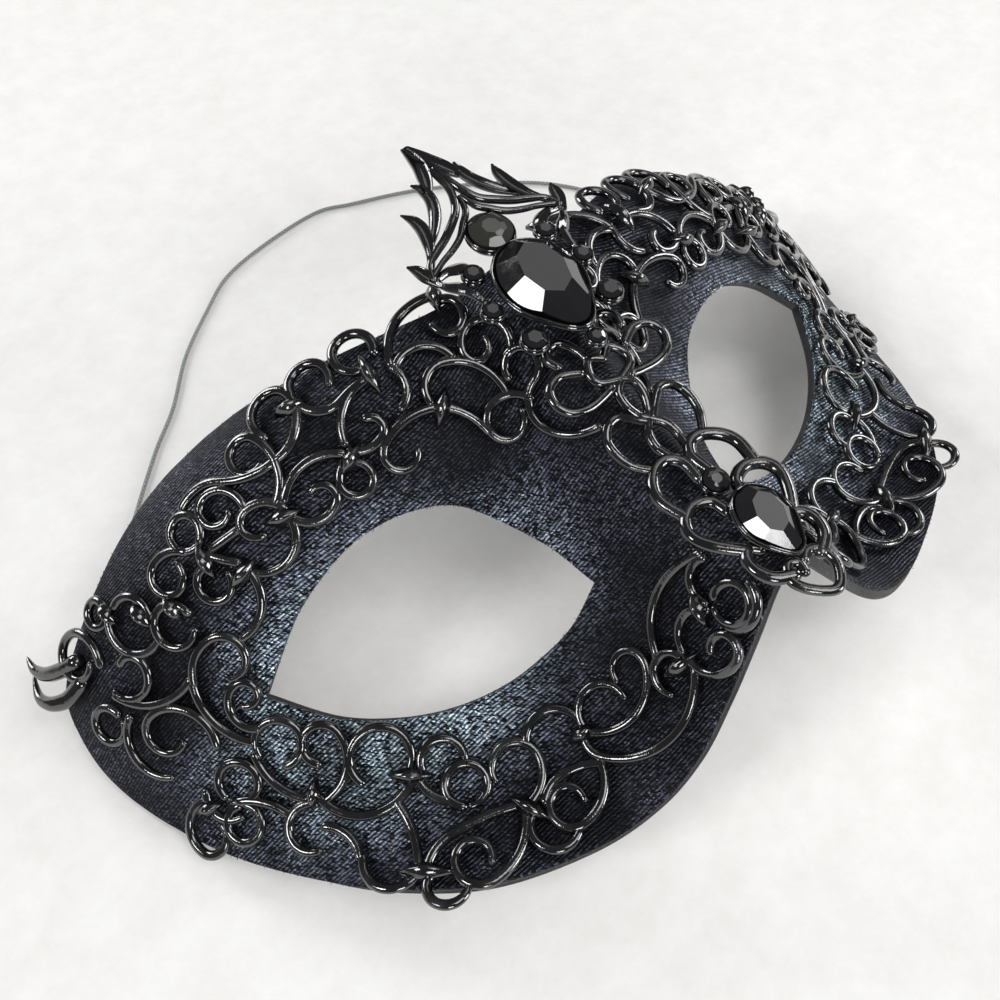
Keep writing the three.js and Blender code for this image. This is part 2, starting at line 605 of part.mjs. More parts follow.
function cordGeometry() {
  const route = new THREE.CatmullRomCurve3(CORD_ROUTE.map((point) => new THREE.Vector3(...point)));
  const section = new THREE.Shape();
  for (let i = 0; i < CORD_SIDES; i += 1) {
    const angle = (2 * Math.PI * i) / CORD_SIDES;
    const [x, y] = [Math.cos(angle), Math.sin(angle)].map((value) => (value * CORD_DIAMETER) / 2);
    section[i === 0 ? 'moveTo' : 'lineTo'](x, y);
  }
  const sweep = { steps: CORD_STEPS, extrudePath: route, bevelEnabled: false };
  const tube = new THREE.ExtrudeGeometry(section, sweep);
  tube.deleteAttribute('normal');
  tube.deleteAttribute('uv');
  return mergeVertices(tube, 1e-4);
}

addPiece('elastic_cord', cordGeometry(), GREY_ELASTIC);

export default mask;
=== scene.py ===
"""A half-face masquerade mask, face up: glitter cloth on a stiff shell, black castings, stones and a cord."""

import math
import random

import bmesh
import bpy
import numpy as np
from mathutils import Matrix, Vector, noise


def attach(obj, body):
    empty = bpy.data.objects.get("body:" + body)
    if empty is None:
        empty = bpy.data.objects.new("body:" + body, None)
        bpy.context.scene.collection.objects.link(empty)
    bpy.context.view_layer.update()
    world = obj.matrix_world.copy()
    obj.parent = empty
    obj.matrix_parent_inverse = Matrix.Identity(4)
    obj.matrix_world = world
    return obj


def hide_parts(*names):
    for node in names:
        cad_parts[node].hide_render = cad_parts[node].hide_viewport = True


MM = 0.001
# the mask's own frame is leaned back about x, slid along y and lifted, in millimetres
LEAN = math.radians(7.5)
SLIDE = 10.98
LIFT = 49.27

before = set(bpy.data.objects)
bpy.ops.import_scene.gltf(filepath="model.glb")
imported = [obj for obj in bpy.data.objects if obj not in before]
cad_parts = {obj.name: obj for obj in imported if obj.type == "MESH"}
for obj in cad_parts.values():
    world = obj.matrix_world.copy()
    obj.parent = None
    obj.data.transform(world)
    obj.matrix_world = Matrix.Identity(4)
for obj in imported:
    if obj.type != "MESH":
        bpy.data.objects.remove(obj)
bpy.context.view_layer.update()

# where the photo's camera stood, in millimetres
CAMERA_PLACE = (-72.13, -63.21, 160.92)
CAMERA_AZIMUTH = math.radians(-40.44)
CAMERA_ELEVATION = math.radians(56.473)
CAMERA_ROLL = math.radians(-0.461)
CAMERA_LENS = 37.383
CAMERA_SENSOR = 36
CAMERA_SEES = (0.01, 20)


def add_camera():
    data = bpy.data.cameras.new("camera")
    data.sensor_width = CAMERA_SENSOR
    data.lens = CAMERA_LENS
    data.clip_start, data.clip_end = CAMERA_SEES
    back = Vector((
        math.sin(CAMERA_AZIMUTH) * math.cos(CAMERA_ELEVATION),
        -math.cos(CAMERA_AZIMUTH) * math.cos(CAMERA_ELEVATION),
        math.sin(CAMERA_ELEVATION),
    ))
    level = Vector((0, 0, 1)).cross(back).normalized()
    upright = back.cross(level)
    right = level * math.cos(CAMERA_ROLL) + upright * math.sin(CAMERA_ROLL)
    up = back.cross(right)
    camera = bpy.data.objects.new("camera", data)
    turn = Matrix((right, up, back)).transposed().to_4x4()
    camera.matrix_world = Matrix.Translation(Vector(CAMERA_PLACE) * MM) @ turn
    bpy.context.scene.collection.objects.link(camera)
    bpy.context.scene.camera = camera


add_camera()


# lengths from here on are in millimetres of the mask's own frame: x across the face, y up, z out of it
SHELL_THICKNESS = 2.0
EYE_MIDDLE = (-38, -19)
UPPER_LID = [
    (-14.2, -29.8), (-16, -21.8), (-20.1, -14.3), (-24.6, -9.2), (-31.2, -6), (-37.8, -4.6), (-43.5, -4.7),
    (-50.7, -6.2), (-59.7, -10.4),
]
LOWER_LID = [
    (-59.7, -10.4), (-53.5, -19.4), (-46.5, -25.5), (-39.3, -29.5), (-31.7, -31.8), (-24.6, -32.3),
    (-19.3, -31.8), (-14.2, -29.8),
]
RIM = [
    (0, -47.8), (-4, -48.5), (-9.1, -51.6), (-14.2, -54.6), (-20.4, -57.4), (-27.6, -58.3), (-37, -56.7),
    (-49.8, -51.4), (-59.8, -43.7), (-67.5, -35.1), (-75.7, -22.8), (-81.2, -10.2), (-83.9, -0.3),
    (-83.9, 8.2), (-81.6, 14.6), (-74, 18.4), (-63.2, 22.2), (-53.6, 23.8), (-42, 22.3), (-31.5, 18.5),
    (-18.8, 14), (-9, 11.6), (0, 11),
]
FORM_BASE = -30
FORM_SPAN = 50
SLOPE_STEP = 0.05
RIM_STEPS = 300
LID_STEPS = 120
RIDGE_STEPS = 56
SHELL_ROWS = 44
# the folded-in cloth is thickest behind this point of RIM; its width is in points of RIM
FOLD_THICKNESS = 1.6
FOLD_AT = 10
FOLD_WIDTH = 0.35
FOLD_REACH = 0.25


def shell_height(x, y):
    """The face's height over its own plane, fitted to the outlines and scrolls of the photo's near half."""
    up = (y - FORM_BASE) / FORM_SPAN
    profile = 24.8 * up**2 - 6.7 * up**3 - 19.5 * up**4
    nose_height = 22.3 - 29.5 * up + 6.8 * up**2
    nose_width = 5 * np.exp(-1.43 * up)
    outward = np.hypot(x, 11.9) - 11.9
    wrap = (9.3 + 16.3 * up - 13 * up**2) * (x / FORM_SPAN) ** 2 + (1.65 * up - 0.35) * (x / FORM_SPAN) ** 4
    return profile - nose_height * (1 - np.exp(-outward / nose_width)) - wrap


def shell_point(x, y):
    return np.stack([x, y, shell_height(x, y)], -1)


def unit(v):
    return v / np.linalg.norm(v, axis=-1, keepdims=True)


def shell_normal(x, y):
    h = SLOPE_STEP
    slope_x = (shell_height(x + h, y) - shell_height(x - h, y)) / (2 * h)
    slope_y = (shell_height(x, y + h) - shell_height(x, y - h)) / (2 * h)
    return unit(np.stack([-slope_x, -slope_y, np.ones_like(slope_x)], -1))


def laid_down(points):
    """Mask millimetres to metres in the frame of the lying mask."""
    x, y, z = np.asarray(points, float).T
    c, s = math.cos(LEAN), math.sin(LEAN)
    return np.column_stack([x, y * c - z * s + SLIDE, y * s + z * c + LIFT]) * MM


def smooth_line(points, steps):
    """Catmull-Rom through the points, evenly in their index."""
    p = np.asarray(points, float)
    t = np.linspace(0, len(p) - 1, steps + 1)
    i = np.minimum(t.astype(int), len(p) - 2)
    w = (t - i)[:, None]
    p0, p1, p2, p3 = (p[np.clip(i + k, 0, len(p) - 1)] for k in (-1, 0, 1, 2))
    v0, v1 = (p2 - p0) / 2, (p3 - p1) / 2
    return (2 * p1 - 2 * p2 + v0 + v1) * w**3 + (-3 * p1 + 3 * p2 - 2 * v0 - v1) * w**2 + v0 * w + p1


MIRROR = (-1, 1, 1)


class Mould:
    """Gathers the points and faces of one piece, in mask millimetres."""

    def __init__(self):
        self.points, self.faces, self.count = [], [], 0

    def add(self, points, faces):
        self.points.append(np.asarray(points, float))
        self.faces += [tuple(i + self.count for i in face) for face in faces]
        self.count += len(points)

    def add_twin(self, points, faces):
        """The mirror image of a form, on the far half."""
        self.add(np.asarray(points) * MIRROR, [face[::-1] for face in faces])

    def mesh(self, name, twin=False):
        points, faces = np.concatenate(self.points), self.faces
        if twin:
            points, faces = points * MIRROR, [face[::-1] for face in faces]
        data = bpy.data.meshes.new(name)
        data.from_pydata(laid_down(points).tolist(), [], faces)
        return data


def piece(name, data, look, nodes, crease=40):
    """One visible piece of the mask; edges sharper than the crease in degrees stay sharp."""
    data.materials.append(look)
    data.shade_smooth()
    data.set_sharp_from_angle(angle=math.radians(crease))
    made = bpy.data.objects.new(name, data)
    bpy.context.scene.collection.objects.link(made)
    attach(made, "root")
    if nodes:
        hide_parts(*nodes)
    return made


# how far past the end each ring of a rounded cap stands, and its size, both in radii
CAP_RINGS = ((0.5, 0.87), (0.87, 0.5), (0.98, 0.15))


def tube(centres, ups, radii, section, caps=True):
    """Rings of the section (across, high) along the centres; ends close in a rounded cap."""
    centres = np.asarray(centres, float)
    forward = unit(np.gradient(centres, axis=0))
    side = unit(np.cross(forward, ups))
    up = np.cross(side, forward)
    radii = np.asarray(radii, float)
    if caps:
        head = [
            (centres[0] - forward[0] * radii[0] * past, side[0], up[0], radii[0] * size)
            for past, size in CAP_RINGS[::-1]
        ]
        tail = [
            (centres[-1] + forward[-1] * radii[-1] * past, side[-1], up[-1], radii[-1] * size)
            for past, size in CAP_RINGS
        ]
        rows = head + list(zip(centres, side, up, radii)) + tail
    else:
        rows = list(zip(centres, side, up, radii))
    points = np.concatenate([c + r * (section[:, :1] * s + section[:, 1:] * u) for c, s, u, r in rows])
    n, m = len(rows), len(section)
    faces = [
        (i * m + j, (i + 1) * m + j, (i + 1) * m + (j + 1) % m, i * m + (j + 1) % m)
        for i in range(n - 1) for j in range(m)
    ]
    faces.append(tuple(range(m)))
    faces.append(tuple(range((n - 1) * m, n * m))[::-1])
    return points, faces


def round_section(sides, flat=1.0):
    t = np.arange(sides) * 2 * math.pi / sides
    return np.column_stack([np.cos(t), flat * np.sin(t)])


WIRE_SECTION = round_section(10, 0.92)
BLADE_SECTION = np.array([
    (1, -0.35), (0.92, 0), (0.45, 0.38), (0, 0.75), (-0.45, 0.38), (-0.92, 0), (-1, -0.35), (0, -0.6),
])


WIRE_HEIGHT = 1.25
WIRE_HALF = 0.78
FINE_STEP = 0.7
FINE_TURN = 11
CURL_FROM = 120
CURL_TAPER = 0.28
END_TAPER = 0.08
TAPER_FROM = 0.55


def wire_line(x, y, heading, *arcs):
    """Walks over the shell along arcs of (radius, turn in degrees). Returns the middles and the normals."""
    place = shell_point(x, y)
    up = shell_normal(x, y)
    angle = math.radians(heading)
    forward = np.array([math.cos(angle), math.sin(angle), 0.0])
    forward[2] = -(up[0] * forward[0] + up[1] * forward[1]) / up[2]
    forward = unit(forward)
    places, ups = [place], [up]
    for radius, turn in zip(arcs[::2], arcs[1::2]):
        length = radius * abs(math.radians(turn))
        steps = math.ceil(max(abs(turn) / FINE_TURN, length / FINE_STEP, 1))
        half_turn = math.radians(turn) / steps / 2
        for _ in range(steps):
            forward = forward * math.cos(half_turn) + np.cross(up, forward) * math.sin(half_turn)
            place = place + forward * length / steps
            place = shell_point(place[0], place[1])
            up = shell_normal(place[0], place[1])
            forward = unit(forward - up * (up @ forward))
            forward = forward * math.cos(half_turn) + np.cross(up, forward) * math.sin(half_turn)
            places.append(place)
            ups.append(up)
    return np.array(places), np.array(ups)


def add_wire(mould, spec):
    """One wire, thinner towards its last end, and most of all where it curls up."""
    places, ups = wire_line(*spec)
    share = np.linspace(0, 1, len(places))
    taper = CURL_TAPER if abs(spec[-1]) > CURL_FROM else END_TAPER
    thinned = np.clip((share - TAPER_FROM) / (1 - TAPER_FROM), 0, 1) ** 1.5
    radii = WIRE_HALF * (1 - taper * thinned)
    mould.add(*tube(places + ups * WIRE_HEIGHT, ups, radii, WIRE_SECTION))


COLLAR_STEPS = 17
COLLAR_REACH = 0.66
COLLAR_RISE = 2.05
COLLAR_HALF = 1.12
COLLAR_TIP = 0.1
COLLAR_SECTION = np.array([
    (1, -0.3), (0.95, 0.05), (0.55, 0.5), (0.12, 0.92), (-0.12, 0.92), (-0.55, 0.5), (-0.95, 0.05),
    (-1, -0.3), (-0.5, -0.7), (0.5, -0.7),
])


def add_collar(mould, spec):
    """A ridged leaf bound over a junction, pointed at both ends and bent down over the wires."""
    x, y, heading, length = spec
    up = shell_normal(x, y)
    angle = math.radians(heading)
    forward = np.array([math.cos(angle), math.sin(angle), 0.0])
    forward = unit(forward - up * (up @ forward))
    share = np.linspace(-1, 1, COLLAR_STEPS)
    rise = COLLAR_RISE - np.abs(share + 0.1) ** 1.8
    centres = shell_point(x, y) + np.outer(share * COLLAR_REACH * length, forward) + np.outer(rise, up)
    radii = COLLAR_TIP + COLLAR_HALF * (1 - np.abs(share + 0.12) ** 1.6 / 1.2).clip(0)
    mould.add(*tube(centres, np.tile(up, (len(share), 1)), radii, COLLAR_SECTION))


# a wire: x, y and heading of its start, then radius and turn of each arc; a collar: x, y, heading, length
BROW_WIRES = [
    (-9.5, 13, 151, 8.5, 94),
    (-9.8, 12, -18, 2.6, -258),
    (-6.3, 0, 47, 3.7, 200, 2, 207),
    (-8.6, -2.2, 91, 2.6, -259, 4.5, 111, 8.6, 53),
    (-7.8, -6.3, 113, 5.3, 72, 2.9, 250),
    (-19.7, 2.1, 93, 3.6, -112, 8, -77),
    (-21.1, 8.6, -65, 3.6, -101),
    (-20.4, 8.6, 26, 4.8, -109),
    (-19.2, 1.1, 152, 9.6, 56, 2.4, 215),
    (-18.6, 0.7, -37, 8.9, -48),
    (-21.6, 11.9, 48, 3, 315),
    (-33.6, 15.2, 79, 3.1, -217),
    (-33.6, 13.3, -86, 4.1, 94, 14.3, -17),
    (-25.1, 9.7, 173, 7.3, 76),
    (-27.9, 5.8, -17, 1.7, -143, 4.2, -71),
    (-42.5, 5.4, 43, 7.5, -87),
    (-32.8, 3.6, 177, 3.5, 61, 2.3, 274),
    (-43.2, 3.8, -79, 4.1, 113, 1.9, 167),
    (-33.9, 14.4, 73, 3.3, 176, 4.4, 41),
    (-33.9, 13.9, -110, 6.3, -80),
    (-43.5, 5.9, 24, 6.6, 90, 2.6, 263),
    (-41, 9.9, 172, 12.4, -38, 6.9, 62),
    (-47, 8.6, 79, 3.9, 105, 2.3, 218),
    (-43.1, 4.7, 109, 4.4, 81, 2.1, 168),
    (-43.2, 4.1, -84, 5.2, -149),
]
BROW_COLLARS = [
    (-24.1, 9.6, -101, 4.6), (-34.6, 13.7, -18, 3.6), (-32.5, 3.3, 25, 3.8), (-19, 0.6, -135, 4.2),
    (-43.7, 3.9, -12, 4.1), (-10.1, 12.6, -115, 3.5),
]
TEMPLE_WIRES = [
    (-54.1, 10, 25, 2.5, 339),
    (-49.5, 7.1, 167, 262.9, 1),
    (-54.3, 7.7, -57, 246.5, 1),
    (-56.4, 10.6, 121, 5.4, 60, 2.7, 264),
    (-55, 6.8, 146, 2.6, 289),
    (-51.3, 2.1, -85, 6.4, -98),
    (-65.5, -1.8, 66, 6.8, -68, 3.3, -196),
    (-62.2, -12.5, 141, 3.8, -148, 1.9, -230),
    (-65.6, -1.5, -117, 10.2, 75),
    (-65.7, -1.2, -172, 10.8, -77),
    (-60.7, 5, 97, 3.2, 309),
    (-69, 14.4, -143, 4.7, 170),
    (-68, 14.2, 13, 3.7, -142),
    (-69.5, 14.8, 61, 2, 345),
    (-74.2, 10.8, 61, 4.6, 130, 3.4, 214),
    (-71.8, 8.2, 19, 2.4, -132, 3.9, -148),
    (-76.3, 4.3, 98, 2.8, 326),
    (-67.9, -9.8, 63, 6.2, 128, 3.3, 200),
    (-75.3, 2.4, -168, 5.9, 134),
]
TEMPLE_COLLARS = [
    (-55, 7.3, -111, 4.2), (-52, 2.7, 14, 4.2), (-69.1, 14, -100, 2.9), (-65.7, 9.6, -95, 3.4),
    (-61.9, 6.7, -102, 3.1),
]
TEMPLE_CLAWS = [
    [(-83.6, 23.6, -43.6), (-83.7, 21, -43.2), (-82.6, 18.4, -41.8), (-80.3, 16.4, -39.5), (-77.8, 15, -37)],
    [(-84.3, 21, -44.8), (-85.4, 17, -44.2), (-84.4, 14, -42.6), (-81.9, 12.2, -40.6), (-78.8, 12, -38)],
]
CHEEK_WIRES = [
    (-71.1, -15.6, 95, 3.2, -333),
    (-72.9, -13.3, -127, 3.8, 123),
    (-73.4, -14.1, 146, 4.4, 139, 2.8, 160),
    (-70.3, -18.2, 150, 2.8, 338),
    (-69.9, -17.8, -37, 10.4, -45),
    (-61.9, -19.1, -25, 3.6, 282),
    (-64.6, -14.8, -104, 9.7, 67),
    (-58.6, -21.9, 125, 3, -135, 2.9, -84, 7, -92),
    (-55.5, -28.1, 104, 4.5, -254),
    (-61.1, -25.7, -86, 8.1, 120),
    (-61.8, -25.9, 128, 3.6, 211),
    (-62.8, -29.4, -45, 5.7, -75),
    (-61.6, -36.7, -132, 4.4, 141),
    (-53.4, -33.7, -91, 16.3, -35),
    (-48, -32.4, 74, 3.2, -209),
    (-49, -32.7, -109, 5.6, 69),
    (-46.8, -40.4, 132, 3.1, -338),
    (-39.4, -46.4, 4, 6, 69, 3.6, 188),
    (-34.3, -39.2, 53, 4.5, -161),
    (-55.9, -43.9, 41, 6.1, -50, 31.5, -20),
    (-40.7, -46.9, -123, 10.3, -60, 3.7, -135, 2.6, -185),
    (-56.3, -45, -163, 2.9, 213),
    (-37.6, -47.5, 41, 4.9, -47, 10.5, -36),
    (-28.2, -48.8, -109, 7.3, -77, 3.2, -132, 2.6, -157),
    (-40, -47.7, -159, 3.6, 195),
]
CHEEK_COLLARS = [
    (-61.5, -24.9, -139, 3.5), (-49.4, -32.3, -39, 4.9), (-56.2, -44.4, -43, 5.7), (-39.9, -47.2, -68, 4.9),
    (-73.4, -15.3, -18, 3.1),
]
NOSE_WIRES = [
    (-27.5, -44.3, -125, 3.4, 73, 13.5, 97),
    (-26.7, -43.3, 84, 3.9, -184),
    (-26.7, -44.4, -55, 8.4, 106, 2.8, 206),
    (-13, -46.7, 86, 3, 214),
    (-14.4, -43.8, 70, 10.2, -55, 13.8, -38),
    (-5.3, -39.4, 134, 3.2, 149),
    (-7.2, -44, 43, 2.8, -324),
    (-8.4, -44.5, 103, 4.2, 131),
    (-10.9, -48.7, 59, 2.2, -216, 4.9, -105),
    (-4.7, -46.4, -99, 3.6, -149),
]
NOSE_COLLARS = [(-27.3, -44, -5, 3.3), (-13.6, -47.2, -13, 4.6), (-8.7, -44, -129, 4)]


# horns, ribs and leaves of the near half: (x, y, z, half the width)
CROWN_HORNS = [
    [
        (-0.2, 32.6, 8.9, 0.62), (-0.5, 30.1, 9.3, 1.05), (-1, 27.9, 9.6, 1.2), (-1.9, 25.7, 9.7, 1.15),
        (-2.7, 24, 9.6, 0.7),
    ],
    [
        (-3.9, 26.2, 9.3, 0.26), (-3.4, 24.5, 9.5, 0.85), (-3.6, 22.3, 9.6, 0.98), (-4.5, 20.3, 9.5, 1),
        (-5.9, 18.5, 9.2, 0.85), (-8.3, 16.2, 8.8, 0.4),
    ],
    [
        (-8.4, 22.9, 9, 0.2), (-7.8, 21, 9.2, 0.82), (-7.8, 18.9, 9.2, 1.04), (-8.4, 16.9, 9, 0.96),
        (-9.4, 15, 8.8, 0.7), (-11, 12.9, 8.6, 0.5),
    ],
    [(-13.2, 15.2, 8.6, 0.3), (-12.7, 14, 8.7, 0.85), (-12.3, 12.5, 8.6, 1.05), (-11.6, 10.8, 8.4, 0.7)],
]
CROWN_RIBS = [
    [
        (-0.3, 26.4, 10, 0.45), (-0.5, 22.4, 10.3, 0.62), (-1.1, 20.3, 10.1, 0.63), (-2.2, 18.5, 9.7, 0.65),
        (-4.2, 17, 9.4, 0.66), (-6.4, 15.8, 9, 0.64), (-8.7, 14.8, 8.8, 0.6), (-10.7, 13.6, 8.7, 0.5),
        (-11.7, 11.6, 8.5, 0.5),
    ],
    [
        (-0.2, 20, 10, 0.4), (-0.9, 17.8, 9.6, 0.53), (-2.5, 16.4, 9.2, 0.56), (-4.3, 14.9, 8.9, 0.54),
        (-6.5, 13.9, 8.7, 0.5), (-8.7, 13.2, 8.6, 0.45), (-11.3, 12, 8.5, 0.45),
    ],
]
CROWN_LEAVES = [
    [
        (-11.5, 11.1, 8.4, 0.4), (-9.5, 11.6, 8.5, 0.72), (-8, 11.3, 8.5, 0.95), (-6.8, 10.8, 8.5, 0.8),
        (-6, 9.8, 8.4, 0.3),
    ],
    [
        (-11.6, 10.8, 8.4, 0.4), (-10.8, 9.6, 8.4, 0.75), (-9.7, 8.6, 8.4, 1.0), (-8.8, 7.4, 8.3, 0.85),
        (-8.3, 4.8, 8.2, 0.45),
    ],
]
HORN_SECTION = np.array([
    (1, 0.05), (0.92, 0.42), (0.74, 0.46), (0.45, 0.2), (0, 0.08), (-0.45, 0.2), (-0.74, 0.46), (-0.92, 0.42),
    (-1, 0.05), (-0.7, -0.45), (0, -0.55), (0.7, -0.45),
])
SPRAY_LEVEL_AT = [
    (-55, 4.6), (-48, 3.9), (-38, 2.6), (-31, 1.9), (-25, 1.6), (-20, 2.5), (-15, 4.6), (-10, 5.4), (-5, 5.3),
]
SPRAY_LOOPS = [
    [(-1.9, -9.5), (-2.1, -7.5), (-3.1, -5.4), (-5.1, -5.1), (-6.3, -6.5), (-6, -8.2)],
    [
        (-2, -14.9), (-3.6, -15.2), (-6.5, -15.4), (-9, -14.6), (-10.1, -12.5), (-9.4, -10.4), (-7, -9.6),
        (-4.2, -10.8),
    ],
    [(0, -10.9), (-1.6, -9.9), (-2.6, -10.5), (-3.3, -12), (-2.7, -13.6), (0, -14.7)],
    [(0, -14.7), (-1.5, -15.7), (-1.7, -17.6), (-1, -19.5), (0, -20.7)],
    [(0, -20.7), (-1.5, -22.4), (-2, -24.4), (-1.6, -26.9)],
    [
        (-0.6, -20.9), (-2.6, -19.2), (-4.2, -18.3), (-6, -18.7), (-7.2, -20.3), (-7.3, -22.5),
        (-6.6, -24.6), (-4.8, -26.9),
    ],
]
FLOWER_PETALS = [
    [(-1, -31.6), (-0.8, -28.7), (-2.2, -26.9), (-4.5, -26.9), (-6.7, -28.7), (-7.5, -31.1), (-6.8, -34.6)],
    [
        (-2, -37.2), (-2.4, -35.3), (-4, -34.3), (-5.8, -34.3), (-7.6, -35.5), (-8.2, -37.6),
        (-6.9, -40.3), (-4.4, -43.2),
    ],
    [(-3, -44), (-4, -43.1), (-5.5, -44.1), (-5.8, -46.1), (-4.8, -48.1), (-2.6, -49.4)],
]
HEART_DROP = [
    (-1.2, -49.9), (-0.9, -48.6), (-2.1, -47.9), (-3.5, -49.6), (-2.6, -52), (0.2, -54.1), (2.8, -51.8),
    (2.9, -49.2), (1.5, -48.2), (0.2, -48.7),
]
STEPS_PER_POINT = 8
LOOP_HALF = 0.72
PETAL_HALF = 0.95
DROP_HALF = 0.75


def spray_level(y):
    at = np.array(SPRAY_LEVEL_AT)
    return np.interp(y, at[:, 0], at[:, 1])


def upright_tube(centres, radii, section):
    return tube(centres, np.tile((0.0, 0.0, 1.0), (len(centres), 1)), radii, section)


def horn(points, section):
    line = smooth_line(points, STEPS_PER_POINT * (len(points) - 1))
    return upright_tube(line[:, :3], line[:, 3], section)


def spray_rod(points, half):
    line = smooth_line(points, STEPS_PER_POINT * (len(points) - 1))
    centres = np.column_stack([line, spray_level(line[:, 1])])
    return upright_tube(centres, np.full(len(line), half), WIRE_SECTION)


STONE_BACK = 0.9
# across, up and down are measured from the middle; top is above the stone's own z; table is half the width
# and half the length of the flat on top, turned by turn degrees; inner adds a star of facets inside the others
STONES = {
    "crown_oval_stone": dict(
        x=0, y=2.4, z=9.2, across=6.0, up=7.5, down=9.4, pinch=0.11, table=(3.2, 4.8), top=2.6, turn=-7),
    "crown_round_stone": dict(x=0, y=13.3, z=8.8, across=3.3, table=(1.98, 1.98), top=1.4, inner=True),
    "crown_upper_stone_near": dict(x=-6.7, y=9.1, z=8.6, across=1.35, table=(0.84, 0.84), top=0.6),
    "crown_side_stone_near": dict(x=-8.4, y=2.9, z=8.1, across=1.35, table=(0.84, 0.84), top=0.6),
    "crown_lower_stone_near": dict(x=-7, y=-4.2, z=8.2, across=1.7, table=(1.05, 1.05), top=0.7),
    "crown_foot_stone": dict(x=0, y=-8.9, z=8.3, across=1.2, table=(0.74, 0.74), top=0.5),
    "flower_round_stone": dict(x=0, y=-33.4, z=2.9, across=1.8, table=(1.08, 1.08), top=0.8, inner=True),
    "nose_oval_stone": dict(
        x=0, y=-41.7, z=5.4, across=3.6, up=4.9, down=5.9, pinch=0.11, table=(2.0, 3.1), top=1.5, turn=-16),
}
for name in [n for n in STONES if n.endswith("_near")]:
    STONES[name.replace("_near", "_far")] = dict(STONES[name], x=-STONES[name]["x"])
GIRDLE = 0.42
GIRDLE_SHARE = 0.4
FACET_SLOPE = 0.945
FACET_FOOT = -0.3
FACET_CREASE = 9
EIGHT_FACETS_FROM = 1.75
BLANK_SIDES = 96
BLANK_FOOT = 0.92
INNER_SHRINK = 0.7
INNER_DROP = 0.72


def stone_outline(spec, angles, grow=0.0):
    """Round, or drawn out up and down with a more pointed lower end."""
    across = spec["across"]
    up, down = spec.get("up", across), spec.get("down", across)
    lower = np.sin(angles) < 0
    bulge = 1 - spec.get("pinch", 0) * np.sin(2 * angles) ** 2 * lower
    x = (across * bulge + grow) * np.cos(angles)
    y = (np.where(lower, down, up) * bulge + grow) * np.sin(angles)
    return np.column_stack([x, y])


def table_corners(spec, angles):
    wide, long = spec["table"]
    turn = math.radians(spec.get("turn", 0))
    x, y = wide * np.cos(angles), long * np.sin(angles)
    return np.column_stack([x * math.cos(turn) - y * math.sin(turn), x * math.sin(turn) + y * math.cos(turn)])


def cut_stone(name, spec, look):
    """The outline drawn up into a blank, then sliced through by the plane of each facet."""
    top = spec["top"]
    girdle = min(GIRDLE, GIRDLE_SHARE * top)
    cuts = 8 if spec["across"] > EIGHT_FACETS_FROM else 6
    blank = bmesh.new()
    ring = stone_outline(spec, np.arange(BLANK_SIDES) * 2 * math.pi / BLANK_SIDES)
    floor_ring = [blank.verts.new((x * BLANK_FOOT, y * BLANK_FOOT, -STONE_BACK)) for x, y in ring]
    face = blank.faces.new(floor_ring)
    risen = bmesh.ops.extrude_face_region(blank, geom=[face])
    lid = [v for v in risen["geom"] if isinstance(v, bmesh.types.BMVert)]
    for v, (x, y) in zip(sorted(lid, key=lambda v: math.atan2(v.co.y, v.co.x) % (2 * math.pi)), ring):
        v.co = (x, y, top)
    corners = np.arange(cuts) * 2 * math.pi / cuts
    rings = [(corners, 1.0, girdle)]
    if spec.get("inner"):
        rings.append((corners + math.pi / cuts, INNER_SHRINK, INNER_DROP * top))
    for angles, shrink, low in rings:
        flat = table_corners(spec, angles) * shrink
        for a, b in zip(flat, np.roll(flat, -1, 0)):
            outward = unit(np.array([b[1] - a[1], a[0] - b[0]]))
            run = (ring @ outward).max() - a @ outward
            drop = min(FACET_SLOPE, (top - FACET_FOOT) / run) if spec.get("turn") else (top - low) / run
            sliced = bmesh.ops.bisect_plane(
                blank, geom=blank.verts[:] + blank.edges[:] + blank.faces[:], plane_co=(*a, top),
                plane_no=Vector((*(outward * drop), 1)).normalized(), clear_outer=True, dist=1e-4)
            edges = [e for e in sliced["geom_cut"] if isinstance(e, bmesh.types.BMEdge)]
            bmesh.ops.contextual_create(blank, geom=edges)
    bmesh.ops.recalc_face_normals(blank, faces=blank.faces)
    bmesh.ops.translate(blank, verts=blank.verts, vec=(spec["x"], spec["y"], spec["z"]))
    points = laid_down([v.co[:] for v in blank.verts])
    for v, p in zip(blank.verts, points):
        v.co = p
    data = bpy.data.meshes.new(name + "_cut")
    blank.to_mesh(data)
    blank.free()
    piece(name + "_cut", data, look, [name], crease=FACET_CREASE)


CUP_SIDES = 64
# a stone wider than the first number gets the second, any other the third
CUP_WALL = (2, 0.24, 0.16)
CUP_DEPTH = (5, 2.2, 1.4)


